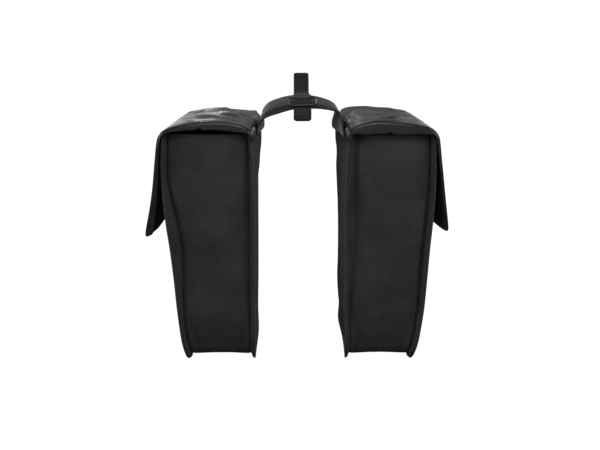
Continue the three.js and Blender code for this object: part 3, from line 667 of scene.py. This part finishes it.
def panel(name, side, which):
    seed = {"left_front": 11, "left_back": 23, "right_front": 37, "right_back": 51}[f"{name}_{which}"]
    z, share = np.meshgrid(PANEL_HEIGHTS, PANEL_SHARES, indexing="ij")
    y = share * half_length(z)
    shape = front_panel if which == "front" else back_panel
    out = 1 if which == "front" else -1
    q = shape(name, y, z)
    d = from_edge(y, z)
    soft = ease(d, 10, 45) * (1 - 0.7 * ease(z, 250, 315))
    wave = 0.95 * fractal(y / 74, z / 96, seed) + 0.45 * noise((y + 0.5 * z) / 34, (z - 0.4 * y) / 120, seed + 5)
    q = q + out * soft * wave
    along = np.where(np.abs(y) > CORNER_Y, z, np.abs(y) + 60)
    q = q + out * 0.22 * seam_pucker(along, d, seed) * (1 - ease(z, 296, 318))
    grid = np.stack([world_x(side, q), y, z], -1)
    sheet = Sheet(grid, 1.0, 1.0, np.array([side * out, 0, 0]), np.stack([y, z], -1))
    piece = sheet.build(f"{name}_{which}_wall")
    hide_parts(f"{name}_{which}_panel")
    # the walls take the lighter cloth of painted sheen
    finish_piece(piece, "bag_fabric", PANEL_FABRIC_PAINTED_SHEEN)
    runs = []
    for inset in (4.4,):
        arc = np.linspace(0, math.pi / 2, 30)
        r = CORNER_R - inset
        line = np.concatenate([
            np.stack([np.full(120, -HALF + inset), np.linspace(PANEL_TOP - 4, CORNER_R, 120)], 1),
            np.stack([-CORNER_Y - r * np.cos(arc), CORNER_R - r * np.sin(arc)], 1)[1:],
            np.stack([np.linspace(-CORNER_Y, CORNER_Y, 90), np.full(90, inset)], 1)[1:],
            np.stack([CORNER_Y + r * np.sin(arc), CORNER_R - r * np.cos(arc)], 1)[1:],
            np.stack([np.full(120, HALF - inset), np.linspace(CORNER_R, PANEL_TOP - 4, 120)], 1)[1:]])
        rr = np.interp(line[:, 1], PANEL_HEIGHTS, np.arange(len(PANEL_HEIGHTS)))
        cc = np.interp(line[:, 0] / half_length(line[:, 1]), PANEL_SHARES, np.arange(len(PANEL_SHARES)))
        runs.append(sheet.sample(rr, cc))
    thread = stitch_mesh(f"{name}_{which}_seam_stitches", runs)
    finish_piece(thread, "bag_fabric", THREAD)
    return sheet


# --------------------------------------------------------------- gusset shape


def gusset_line():
    """Base line of the gusset with its outward direction: y, z, ny, nz and running length."""
    arc = np.linspace(0, math.pi / 2, 25)
    down = np.concatenate([[GUSSET_TOP, GUSSET_TOP - 1.6], np.linspace(GUSSET_TOP - 4, CORNER_R, 104)])
    near = np.stack([np.full(len(down), LIP - HALF), down, np.full(len(down), -1.0), np.zeros(len(down))], 1)
    turn = np.stack([-CORNER_Y - BASE_R * np.cos(arc), CORNER_R - BASE_R * np.sin(arc), -np.cos(arc), -np.sin(arc)], 1)
    flat = np.linspace(-CORNER_Y, CORNER_Y, 62)[1:-1]
    under = np.stack([flat, np.full(len(flat), LIP), np.zeros(len(flat)), -np.ones(len(flat))], 1)
    first = np.concatenate([near, turn[1:]])
    last = first[::-1] * np.array([-1, 1, -1, 1])
    line = np.concatenate([first, under, last])
    s = np.concatenate([[0], np.cumsum(np.hypot(np.diff(line[:, 0]), np.diff(line[:, 1])))])
    return line, s


GUSSET_LINE, GUSSET_RUN = gusset_line()
GUSSET_INNER = np.array([0.3, 0.6, 1.0, 1.5, 2.2, 3.2, 4.4, 5.8, 7.4, 9.2, 11.2, 13.6, 16.6, 20.2, 24.6])
GUSSET_OUTER = np.array([26, 21.5, 17.5, 14, 11, 8.6, 6.6, 5.0, 3.7, 2.7, 1.9, 1.2, 0.7, 0.25, -0.15, -0.5, -0.85, -1.2])


def gusset(name, side):
    y0, z0, ny, nz = (c[:, None] for c in GUSSET_LINE.T)
    run = GUSSET_RUN

    def at(shape, rise, offset):
        return shape(name, y0 + ny * rise, np.minimum(z0 + nz * rise, PANEL_TOP)) + offset

    start, end = at(back_panel, 2.0, 2.3), at(front_panel, 2.0, -2.3)
    width = end - start
    outer = np.maximum(crease_in[name](z0) - 5.2, 0.5)
    narrow = np.minimum(outer / 1.4, 1.0)
    settle = 1 - 0.55 * ease(z0, 285, GUSSET_TOP)
    full = GUSSET_MIDDLE_RISE + (GUSSET_BOTTOM_RISE - GUSSET_MIDDLE_RISE) * (-nz)
    flatten = 1 - 0.85 * ease(-nz, 0.2, 1.0)      # no crease under the bag
    first, last = 24.6, outer + 26
    between = first + (width - last - first) * np.linspace(0, 1, 12)[1:-1]
    u = np.concatenate([np.broadcast_to(GUSSET_INNER, (len(run), len(GUSSET_INNER))), between,
                        width - outer - np.where(GUSSET_OUTER > 0, GUSSET_OUTER, GUSSET_OUTER * narrow),
                        width - (outer - 1.2 * narrow) * np.array([0.72, 0.45, 0.2])], 1)
    v = width - u
    deep, place, half = (column(INNER_HOLLOW[name][:, 0], INNER_HOLLOW[name][:, k])(z0) for k in (1, 2, 3))
    hollow = deep * np.exp(-((u - place) / half) ** 2) * ease(u, -0.2, 1.4)
    fade = 0.35 + 0.65 * ease(z0, 25, 90)
    step = GUSSET_STEP[name] * fade * ease(v, outer - 1.0, outer + 0.3) * (1 - ease(v, outer + 2, outer + 27))
    soft_half = 2.0 + GROOVE_SOFT[name] * ease(z0, 100, 150) * (1 - ease(z0, 215, 260))
    step = step + GUSSET_GROOVE[name] * np.exp(-((v - outer - 0.3 - 0.4 * soft_half) / soft_half) ** 2)
    strip = (0.5 + 1.9 * ease(v, 0.2, 3.0)) * (1 - ease(v, outer - 1.4 * narrow, outer - 0.3 * narrow))
    tuck = GUSSET_TUCK * (1 - ease(z0, 36, 84)) * (1 - ease(-nz, 0.4, 0.98)) * ease(u, 1, 12) * ease(v, outer + 1, outer + 12)
    rr = (full * ease(u, 4, 32) * ease(v - outer, 2, 32) + (strip - hollow - step) * flatten - tuck) * settle
    one = np.ones_like(y0)
    qq = np.concatenate([at(back_panel, FLANGE_RISE, FLANGE_OFF), at(back_panel, 5.2, FLANGE_OFF), at(back_panel, 3.6, FLANGE_OFF),
                         at(back_panel, 1.8, FLANGE_OFF), at(back_panel, 0.2, FLANGE_OFF + 0.35), start + u,
                         at(front_panel, 1.2, -FLANGE_OFF - 0.3), at(front_panel, 2.4, -FLANGE_OFF), at(front_panel, 3.8, -FLANGE_OFF),
                         at(front_panel, 5.3, -FLANGE_OFF), at(front_panel, FLANGE_RISE, -FLANGE_OFF)], 1)
    rr = np.concatenate([FLANGE_RISE * one, 5.2 * one, 3.6 * one, 1.8 * one, 0.2 * one, rr,
                         1.2 * one, 2.4 * one, 3.8 * one, 5.3 * one, FLANGE_RISE * one], 1)
    cols = qq.shape[1]
    ll = np.concatenate([np.zeros((len(run), 1)), np.cumsum(np.hypot(np.diff(qq), np.diff(rr)), 1)], 1)
    seed = 71 if name == "left" else 89
    total = ll[:, -1:]
    body = ease(ll, 18, 36) * ease(total - ll - outer, 24, 44)
    s = run[:, None] * np.ones_like(ll)
    away = np.minimum(s, run[-1] - s)
    soft = body * (1 - 0.75 * (1 - ease(away, 8, 50)))
    flat = 1 - 0.6 * (-nz)
    rr = rr + soft * flat * (0.8 * fractal(s / 105, ll / 44, seed) + 0.4 * noise(s / 170, ll / 15, seed + 7))
    y, z = y0 + ny * rr, z0 + nz * rr
    grid = np.stack([world_x(side, qq), y, z], -1)
    out = np.stack([np.zeros_like(y), ny * np.ones_like(y), nz * np.ones_like(y)], -1)
    hem = 1 - ease(away, GUSSET_HEM - 0.8, GUSSET_HEM + 0.8)
    half = GUSSET_WALL / 2
    sheet = Sheet(grid, half + 0.25 * hem * body, half + 0.75 * hem, out, np.stack([ll, s], -1))
    piece = sheet.build(f"{name}_gusset_strip")
    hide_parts(f"{name}_gusset")
    finish_piece(piece, "bag_fabric", FABRIC)
    runs = []
    rows_at = np.interp([9.0, run[-1] - 9.0], run, np.arange(len(run)))
    for r in rows_at:
        c = np.linspace(9.0, cols - 8.0, 160)
        runs.append(sheet.sample(np.full(160, r), c))
    for c in (1.2, cols - 2.2):
        r = np.linspace(np.interp(7, run, np.arange(len(run))), np.interp(run[-1] - 7, run, np.arange(len(run))), 700)
        runs.append(sheet.sample(r, np.full(700, c)))
    thread = stitch_mesh(f"{name}_gusset_stitches", runs)
    finish_piece(thread, "bag_fabric", THREAD)
    return sheet


# ------------------------------------------------------------------ lid shape

LID_RUN = walked(LID_SECTION, 0, 1)
LID_LENGTH = LID_RUN[-1]
lid_q, lid_z, lid_arch, lid_drop, lid_splay, far_hem = (column(LID_RUN, LID_SECTION[:, k]) for k in range(6))
near_hem = {"left": column(LID_RUN, LID_SECTION[:, 6]), "right": column(LID_RUN, LID_SECTION[:, 7])}
lid_crown = column(LID_CROWN[:, 0], LID_CROWN[:, 1])
facet_edge = {"left": column(FACET_EDGE[:, 0], FACET_EDGE[:, 1]), "right": column(FACET_EDGE[:, 0], FACET_EDGE[:, 2])}


def path_height(path, height, width, q, y):
    """A crease along a path: its height at each point, fading at both ends."""
    p = np.asarray(path, float)
    seg = np.hypot(*np.diff(p, axis=0).T)
    reach = np.concatenate([[0], np.cumsum(seg)])
    best, where = np.full(q.shape, 1e9), np.zeros(q.shape)
    for k in range(len(seg)):
        d = p[k + 1] - p[k]
        t = np.clip(((q - p[k, 0]) * d[0] + (y - p[k, 1]) * d[1]) / seg[k] ** 2, 0, 1)
        off = np.hypot(q - p[k, 0] - t * d[0], y - p[k, 1] - t * d[1])
        nearer = off < best
        best = np.where(nearer, off, best)
        where = np.where(nearer, reach[k] + t * seg[k], where)
    t = where / reach[-1]
    fade = ease(t, -0.12, 0.2) * (1 - ease(t, 0.7, 1.02))
    return height * np.exp(-(best / width) ** 2) * fade


def lid_point(name, length, y, fine=True):
    plain = lid_q(length)
    q = plain + FLAP_SPLAY[name] * lid_splay(length) + inward(name, y, PANEL_TOP) * (1 - ease(plain, 64, 150))
    top = lid_arch(length)
    folds = np.zeros(np.broadcast(q, y).shape)
    for q0, y0, q1, y1, height, width in LID_FOLDS[name]:
        dq, dy = q1 - q0, y1 - y0
        t = np.clip(((q - q0) * dq + (y - y0) * dy) / (dq * dq + dy * dy), 0, 1)
        off = np.hypot(q - q0 - t * dq, y - y0 - t * dy)
        folds += height * np.exp(-(off / width) ** 2) * (0.55 + 0.45 * np.sin(math.pi * t))
    if fine:
        for path, height, width in LID_CREASES[name]:
            folds += path_height(path, height, width, q, y)
        seed = 101 if name == "left" else 131
        slant = y - 0.9 * q
        folds += 0.35 * fractal(slant / 26, (q + 0.4 * y) / 90, seed) * ease(LID_HALF - np.abs(y), 4, 16)
    facet = ease(y - facet_edge[name](q), 0, 55) * (1 - ease(q, 112, 138))
    rise = lid_crown(y) * (1 - FACET_FALL[name] * facet) + FACET_LIFT[name] * facet
    droop_far = FAR_DROOP[name] * ease(y, 60, 165) * ease(plain, 140, 166) * (1 - ease(plain, 177, 187))
    z = (lid_z(length) + top * rise - droop_far + folds * np.minimum(top * 1.6, 1)
         - lid_drop(length) * (FLAP_LONGER[name] + FLAP_DROP * (1 - (y / LID_HALF) ** 2)))
    return q, z


def lid(name, side):
    lengths = np.concatenate([[0.0, 1.6], np.linspace(3.6, LID_LENGTH - 3.6, 116), [LID_LENGTH - 1.6, LID_LENGTH]])
    hem_share = np.array([1, 0.86, 0.7, 0.54, 0.36, 0.16])
    turned = len(hem_share)
    phi = np.linspace(0, math.pi / 2, 6)
    inset = np.concatenate([np.zeros(turned), LID_BEND * (1 - np.cos(phi))])
    bend = np.concatenate([np.full(turned, LID_BEND), LID_BEND * (1 - np.sin(phi))])
    share = np.concatenate([hem_share, np.zeros(6)])
    top_y = np.linspace(-LID_HALF + LID_BEND, LID_HALF - LID_BEND, 128)[1:-1]
    ys = np.concatenate([-LID_HALF + inset, top_y, (LID_HALF - inset)[::-1]])
    shares = np.concatenate([share, np.zeros(len(top_y)), share[::-1]])
    bends = np.concatenate([bend, np.zeros(len(top_y)), bend[::-1]])
    L, Y = np.meshgrid(lengths, ys, indexing="ij")
    # the flap's lower corners are rounded
    hem = np.where(Y < 0, near_hem[name](L), far_hem(L))
    loose_edge = (1 - shares) * (hem - LID_BEND)
    corner = np.where(shares > 0, FLAP_CORNER - np.sqrt(np.maximum(FLAP_CORNER ** 2 - np.maximum(FLAP_CORNER - loose_edge, 0) ** 2, 0)), 0)
    corner = corner + 3.0 * np.exp(-((LID_HALF - np.abs(Y)) / 6.0) ** 2)
    L = L - corner * ease(L, LID_LENGTH - 45, LID_LENGTH)
    q, z = lid_point(name, L, Y)
    qa, za = lid_point(name, np.maximum(L - 2, 0), Y, fine=False)
    qb, zb = lid_point(name, np.minimum(L + 2, LID_LENGTH), Y, fine=False)
    run = np.hypot(qb - qa, zb - za)
    nq, nz = -(zb - za) / run, (qb - qa) / run
    on_top = ease(q, 60, 70) * (1 - ease(q, 178, 186))
    hem = hem + np.where(Y < 0, column(NEAR_HEM[name][:, 0], NEAR_HEM[name][:, 1])(q), 0.6 * noise(L / 17, 2.5, 7)) * on_top
    hem = np.maximum(hem, LID_BEND + 0.6)
    depth = bends[None, :] + (hem - LID_BEND) * shares[None, :]
    # the loose flap is not quite flat
    seed = 151 if name == "left" else 173
    loose = ease(L, LID_LENGTH - 138, LID_LENGTH - 60)
    sway = loose * (1.1 * fractal(Y / 90, L / 120, seed, 2) + 0.35 * noise(Y / 30, L / 70, seed + 4))
    q, z = q - nq * depth + nq * sway, z - nz * depth + nz * sway
    grid = np.stack([world_x(side, q), Y, z], -1)
    out = np.stack([side * nq, np.zeros_like(nq), nz], -1)
    flap_edge = 1 - ease(LID_LENGTH - L, 9.0, 10.6)
    end_edge = 1 - ease(LID_HALF - np.abs(Y), 9.0, 10.6)
    doubled = np.maximum(flap_edge, end_edge * ease(L, 6, 14))
    v = Y + np.sign(Y) * depth
    Y = Y - 0.8 * shares * np.where(Y < 0, 0.5 + 0.5 * noise(L / 19, 1.5, seed + 8), 0)
    sheet = Sheet(grid, 1.0 + 0.12 * doubled, 1.0 + 0.7 * doubled, out, np.stack([L, v], -1))
    piece = sheet.build(f"{name}_lid_cover", painted_light_underside=True)
    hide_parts(f"{name}_lid")
    # the under faces take the lining of painted fill light
    finish_piece(piece, "lid_leather", LID_LEATHER, LID_LINING_PAINTED_FILL)
    row = lambda x: np.interp(x, lengths, np.arange(len(lengths)))
    col = lambda x: np.interp(x, top_y, np.arange(len(top_y)) + turned + 6)
    edge = LID_HALF - 9.5
    runs = []
    a = np.linspace(26, LID_LENGTH - 7, 260)
    b = np.linspace(-edge, edge, 240)
    runs.append(sheet.sample(row(a), np.full(260, col(-edge))))
    runs.append(sheet.sample(np.full(240, row(LID_LENGTH - 7)), col(b)))
    runs.append(sheet.sample(row(a), np.full(260, col(edge))))
    runs.append(sheet.sample(np.full(240, row(4.6)), col(b)))
    thread = stitch_mesh(f"{name}_lid_stitches", runs, length=3.6, pitch=5.0)
    finish_piece(thread, "lid_leather", THREAD)
    return sheet


# ----------------------------------------------------------------- yoke shape

YOKE_RUN = walked(YOKE_SECTION, 0, 1)
YOKE_LENGTH = YOKE_RUN[-1]
yoke_q, yoke_mid, yoke_far = (column(YOKE_RUN, YOKE_SECTION[:, k]) for k in (0, 1, 2))
yoke_near = {"left": column(YOKE_RUN, YOKE_SECTION[:, 3]), "right": column(YOKE_RUN, YOKE_SECTION[:, 4])}


def droop(share):
    a = np.abs(share)
    return 0.5 * a * a + 0.5 * ease(a, YOKE_HEM, 1.02)


def yoke():
    half = np.concatenate([[0, 1.6], np.linspace(4.0, YOKE_LENGTH, 42)])
    walks = np.concatenate([half - YOKE_LENGTH, (YOKE_LENGTH - half)[::-1][1:]])
    shares = np.concatenate([[-1, -0.98], np.linspace(-0.955, 0.955, 84), [0.98, 1]])
    W, S = np.meshgrid(walks, shares, indexing="ij")
    length = YOKE_LENGTH - np.abs(W)
    side = np.where(W < 0, -1.0, 1.0)
    mid = yoke_mid(length)
    near = np.where(W < 0, yoke_near["left"](length), yoke_near["right"](length))
    edge = np.where(S < 0, near, yoke_far(length))
    z = mid + (edge - mid) * droop(S)
    spread = np.where(S < 0, np.where(W < 0, YOKE_FLARE["left"], YOKE_FLARE["right"]), 0) * (1 - ease(z, 320, 346))
    y = S * (YOKE_HALF + spread)
    pull = np.where(W < 0, inward("left", y, PANEL_TOP), inward("right", y, PANEL_TOP))
    q = yoke_q(length) + pull * (1 - ease(z, 326, 350))
    x = side * q + YOKE_SWAY * ease(z, 332, 354)
    # shallow tension folds that run from bag to bag
    calm = ease(length, 4, 26)
    fold = 0.55 * np.sin(y / 8.2 + 1.6 * noise(W / 60, y / 50, 211)) * noise(W / 70, y / 34, 217) + 0.45 * fractal(W / 46, y / 30, 223)
    fold = fold * calm * (1 - 0.6 * ease(np.abs(S), 0.84, 0.95)) * (1 - 0.7 * np.exp(-((x - STRAP_X) / 17) ** 2))
    grid = np.stack([x + SHIFT, y, z], -1)
    flatter = Sheet(grid, 1.0, 1.0, np.array([0, 0, 1.0]), np.stack([W, y], -1))
    grid = grid + flatter.n * fold[..., None]
    away = (1 - np.abs(S)) * YOKE_HALF
    doubled = 1 - ease(away, 9.0, 10.4)
    sheet = Sheet(grid, 1.0 + 0.15 * doubled, 1.0 + 0.65 * doubled, np.array([0, 0, 1.0]), np.stack([W, y], -1))
    piece = sheet.build("yoke_strap_band", painted_light_underside=True)
    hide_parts("yoke_band")
    # the underside takes the light grey cloth of painted reflection
    finish_piece(piece, "yoke_leather", YOKE_LEATHER, YOKE_UNDERSIDE_PAINTED_REFLECTION)
    row = lambda x: np.interp(x, walks, np.arange(len(walks)))
    col = lambda x: np.interp(x, shares, np.arange(len(shares)))
    runs = []
    a = np.linspace(-YOKE_LENGTH + 3, YOKE_LENGTH - 3, 260)
    for inset in (-1 + 5.6 / YOKE_HALF, 1 - 5.6 / YOKE_HALF):
        runs.append(sheet.sample(row(a), np.full(260, col(inset))))
    b = np.linspace(-0.93, 0.93, 200)
    for back in (3.4, 8.2):
        for s in (-1, 1):
            runs.append(sheet.sample(np.full(200, row(s * (YOKE_LENGTH - back))), col(b)))
    thread = stitch_mesh("yoke_stitches", runs, length=3.4, pitch=4.8)
    finish_piece(thread, "yoke_leather", THREAD)
    return sheet


# ------------------------------------------------------------ strap and slide

TILT = np.array([math.cos(SLIDE_TILT), math.sin(SLIDE_TILT)])
UPRIGHT = np.array([-math.sin(SLIDE_TILT), math.cos(SLIDE_TILT)])


def in_slide(s):
    s = np.atleast_1d(np.asarray(s, float))
    up = np.where(np.abs(s) < BAR_PITCH, STRAP_WEAVE * np.cos(math.pi * s / BAR_PITCH), -STRAP_WEAVE)
    return np.array([SLIDE_Y, SLIDE_Z]) + s[:, None] * TILT + up[:, None] * UPRIGHT


def strap():
    near = smooth_line(np.vstack([STRAP_NEAR_END, in_slide(-12), in_slide(-BAR_PITCH)]), 40)
    far = smooth_line(np.vstack([in_slide(BAR_PITCH), in_slide(12), STRAP_FAR_END]), 220)
    line = np.vstack([near[:-1], in_slide(np.linspace(-BAR_PITCH, BAR_PITCH, 60)), far[1:]])
    line = respaced(line, 250)
    s = np.concatenate([[0], np.cumsum(np.hypot(*np.diff(line, axis=0).T))])
    corner = {"near": 4.0, "far": 3.0}

    def half_width(e, r):
        e = np.minimum(e, r)
        return STRAP_WIDTH / 2 - r + np.sqrt(np.maximum(r * r - (r - e) ** 2, 0))

    width = np.minimum(half_width(s, corner["near"]), half_width(s[-1] - s, corner["far"]))
    shares = np.concatenate([[-1, -0.93], np.linspace(-0.84, 0.84, 15), [0.93, 1]])
    K, S = np.meshgrid(np.arange(len(line)), shares, indexing="ij")
    run = s[K]
    x = STRAP_X + S * width[K] + 0.25 * noise(run / 40, 0.5, 301)
    cup = 0.35 * (S ** 2) * ease(run, 30, 60) * (1 - ease(run, s[-1] - 60, s[-1] - 20))
    y, z = line[K, 0], line[K, 1] - cup
    grid = np.stack([x + SHIFT, y, z], -1)
    ends = np.maximum(1 - ease(run, 11.5, 12.6), 1 - ease(s[-1] - run, 9.5, 10.6))
    edge = 1 - 0.25 * ease(np.abs(S), 0.86, 1)
    sheet = Sheet(grid, 0.75 * edge + 0.25 * ends, 0.75 * edge + 1.1 * ends, np.array([0, 0, 1.0]), np.stack([S * STRAP_WIDTH / 2, run], -1))
    piece = sheet.build("centre_webbing")
    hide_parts("centre_strap")
    finish_piece(piece, "strap_webbing", WEBBING)
    row = lambda v: np.interp(v, s, np.arange(len(s)))
    runs = []
    for at in (4.0, 9.6, s[-1] - 4.0, s[-1] - 8.2):
        c = np.interp(np.linspace(-0.8, 0.8, 60), shares, np.arange(len(shares)))
        for under in (False, True):
            runs.append(sheet.sample(np.full(60, row(at)), c, under=under))
    thread = stitch_mesh("strap_stitches", runs, length=2.5, pitch=3.3, radius=0.3)
    finish_piece(thread, "strap_webbing", THREAD)


def tube(path, wide, tall, sides, closed, side_dir, up_dir):
    """A bar of oval section along a flat path of 3-D points."""
    p = np.asarray(path, float)
    if closed:
        t = unit(np.roll(p, -1, axis=0) - np.roll(p, 1, axis=0))
    else:
        t = unit(np.gradient(p, axis=0))
    across = unit(np.cross(t, up_dir))
    verts, faces = [], []
    for k in range(len(p)):
        for m in range(sides):
            a = 2 * math.pi * m / sides
            verts.append(p[k] + across[k] * wide / 2 * math.cos(a) + up_dir * tall / 2 * math.sin(a))
    count = len(p)
    for k in range(count if closed else count - 1):
        n = (k + 1) % count
        for m in range(sides):
            w = (m + 1) % sides
            faces.append((k * sides + m, n * sides + m, n * sides + w, k * sides + w))
    if not closed:
        faces.append(tuple(range(sides)))
        faces.append(tuple((count - 1) * sides + m for m in reversed(range(sides))))
    return np.array(verts), faces


def slide():
    along = np.array([0, TILT[0], TILT[1]])
    up = np.array([0, UPRIGHT[0], UPRIGHT[1]])
    across = np.array([math.cos(SLIDE_ROLL), 0, 0]) + math.sin(SLIDE_ROLL) * up
    up = math.cos(SLIDE_ROLL) * up - np.array([math.sin(SLIDE_ROLL), 0, 0])
    centre = np.array([STRAP_X + SHIFT, SLIDE_Y, SLIDE_Z])
    w, h, r = SLIDE_WIDTH / 2 - SLIDE_BAR / 2, SLIDE_HEIGHT / 2 - SLIDE_BAR / 2, 5.6
    flat = []
    for cx, cy, a0 in ((w - r, h - r, 0), (-w + r, h - r, 90), (-w + r, -h + r, 180), (w - r, -h + r, 270)):
        for a in np.radians(np.linspace(a0, a0 + 90, 13)):
            flat.append((cx + r * math.cos(a), cy + r * math.sin(a)))
    flat = np.array(flat)
    ring = respaced(np.vstack([flat, flat[:1]]), 150)[:-1]
    path = centre + ring[:, :1] * across + ring[:, 1:] * along
    verts, faces = tube(path, SLIDE_BAR, 3.3, 20, True, across, up)
    frame_bar = put("slide_frame", verts, faces)
    bar = centre + np.linspace(-w, w, 40)[:, None] * across
    verts, faces = tube(bar, 3.0, 3.0, 20, False, across, up)
    mid = put("slide_mid_bar", verts, faces)
    cut = frame_bar.modifiers.new("join", "BOOLEAN")
    cut.operation, cut.solver, cut.object = "UNION", "EXACT", mid
    bpy.context.view_layer.update()
    made = bpy.data.meshes.new_from_object(frame_bar.evaluated_get(bpy.context.evaluated_depsgraph_get()))
    frame_bar.modifiers.clear()
    frame_bar.data = made
    bpy.data.objects.remove(mid)
    made.polygons.foreach_set("use_smooth", np.ones(len(made.polygons), bool))
    frame_bar.name = "strap_slide"
    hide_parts("slide_buckle")
    finish_piece(frame_bar, "slide_metal", METAL)


# --------------------------------------------------------------------- making

for bag, direction in SIDES:
    panel(bag, direction, "front")
    panel(bag, direction, "back")
    gusset(bag, direction)
    lid(bag, direction)
yoke()
strap()
slide()

# ------------------------------------------------------- stage, light, camera

scene = bpy.context.scene


def stage_floor():
    mesh = bpy.data.meshes.new("floor")
    far, under = 60.0, -0.0003
    mesh.from_pydata([(-far, -far, under), (far, -far, under), (far, far, under), (-far, far, under)], [], [(0, 1, 2, 3)])
    floor = bpy.data.objects.new("floor", mesh)
    scene.collection.objects.link(floor)
    mat, tree, shader = material("floor_white")
    speck = node(tree, "ShaderNodeTexNoise", {"Scale": 6.0, "Detail": 2.0})
    tree.links.new(mixed(tree, (0.14, 0.14, 0.14), (0.16, 0.16, 0.16), speck.outputs["Fac"]), shader.inputs["Base Color"])
    shader.inputs["Roughness"].default_value = 0.95
    shader.inputs["Specular IOR Level"].default_value = 0.0
    shader.inputs["Emission Color"].default_value = (1, 1, 1, 1)
    ray = node(tree, "ShaderNodeLightPath")
    tree.links.new(math_node(tree, "MULTIPLY", ray.outputs["Is Camera Ray"], 1.02), shader.inputs["Emission Strength"])
    mesh.materials.append(mat)


def soft_light(name, place, target, size, power):
    data = bpy.data.lights.new(name, "AREA")
    data.shape, data.size, data.size_y, data.energy = "RECTANGLE", size[0], size[1], power
    lamp = bpy.data.objects.new(name, data)
    lamp.location = place
    lamp.rotation_euler = (Vector(target) - Vector(place)).to_track_quat("-Z", "Y").to_euler()
    lamp.visible_camera = False
    scene.collection.objects.link(lamp)


stage_floor()
soft_light("front_left_box", (-1.6, -1.1, 0.9), (0.0, -0.1, 0.2), (0.7, 0.9), 7.1)
soft_light("front_top_box", (0.0, -1.1, 1.35), (0.0, -0.1, 0.25), (0.9, 0.5), 6.6)
soft_light("front_right_box", (1.3, -1.3, 0.9), (0.0, -0.1, 0.2), (0.8, 0.9), 7.1)
soft_light("front_low_box", (0.0, -2.2, 0.35), (0.0, -0.1, 0.2), (1.2, 0.5), 1.9)
soft_light("left_box", (-2.2, -0.3, 0.75), (0.0, 0.0, 0.3), (0.2, 0.3), 2.8)
soft_light("right_box", (2.2, -0.3, 0.75), (0.0, 0.0, 0.3), (0.2, 0.3), 0.9)
soft_light("top_box", (0.0, 0.1, 2.2), (0.0, 0.0, 0.3), (1.4, 1.4), 2.5)
soft_light("back_outer_left_box", (-0.66, 3.3, 0.80), (0.0, 0.0, 0.34), (0.3, 0.15), 0.4)
soft_light("back_inner_left_box", (-0.46, 3.3, 0.82), (0.0, 0.0, 0.34), (0.2, 0.18), 0.62)
soft_light("back_low_left_box", (-1.15, 3.3, 0.55), (-0.1, 0.0, 0.34), (0.8, 0.4), 1.9)
soft_light("back_low_far_right_box", (1.0, 3.3, 0.45), (0.1, 0.0, 0.34), (0.6, 0.35), 0.6)
soft_light("back_middle_box", (-0.08, 3.3, 1.12), (0.0, 0.0, 0.34), (0.3, 0.2), 0.24)
soft_light("back_low_right_box", (0.45, 3.3, 0.80), (0.1, 0.0, 0.34), (0.6, 0.15), 0.05)
soft_light("back_left_box", (-1.1, 3.2, 0.95), (-0.1, 0.0, 0.34), (0.5, 0.4), 0.5)
soft_light("back_left_high_box", (-1.2, 2.4, 1.4), (0.0, 0.0, 0.33), (1.2, 0.7), 1.0)
soft_light("back_high_box", (0.0, 2.6, 1.5), (0.0, 0.0, 0.33), (1.2, 0.7), 1.3)
soft_light("back_right_box", (1.6, 2.6, 0.60), (0.0, 0.0, 0.33), (1.2, 0.7), 10.0)
soft_light("left_side_box", (-2.0, 1.1, 0.9), (-0.2, 0.0, 0.2), (1.2, 1.0), 12.0)
soft_light("right_side_box", (2.0, 1.1, 0.9), (0.2, 0.0, 0.2), (1.2, 1.0), 12.0)
soft_light("far_high_box", (0.0, 2.0, 2.0), (0.0, 0.1, 0.2), (1.2, 0.8), 0.8)
soft_light("left_glint_box", (-1.85, 2.3, 1.0), (0.0, -0.09, 0.37), (0.22, 0.35), 2.5)
soft_light("right_glint_box", (1.85, 2.3, 1.0), (0.0, -0.09, 0.37), (0.22, 0.35), 2.5)
soft_light("back_right_high_box", (1.2, 2.4, 1.4), (0.0, 0.0, 0.33), (1.2, 0.7), 2.0)

world = bpy.data.worlds.new("studio")
scene.world = world
world.use_nodes = True
tree = world.node_tree
back = tree.nodes["Background"]
spot = node(tree, "ShaderNodeTexCoord")
parts = tree.nodes.new("ShaderNodeSeparateXYZ")
tree.links.new(spot.outputs["Generated"], parts.inputs[0])
level = mapped(tree, parts.outputs[2], 0.075, 0.065, 0.0, 1.0)
ray = node(tree, "ShaderNodeLightPath")
back.inputs["Color"].default_value = (1, 1, 1, 1)
tree.links.new(math_node(tree, "MAXIMUM", level, ray.outputs["Is Camera Ray"]), back.inputs["Strength"])

camera_data = bpy.data.cameras.new("camera")
camera_data.lens, camera_data.sensor_width = 54.0, 36.0
camera_data.sensor_fit = "HORIZONTAL"
camera = bpy.data.objects.new("camera", camera_data)
camera.location = (-0.0035, -1.370, 0.466)
camera.rotation_euler = (math.radians(90 - 12.2), 0, math.radians(-0.38))
scene.collection.objects.link(camera)
scene.camera = camera
scene.view_settings.view_transform = "Standard"
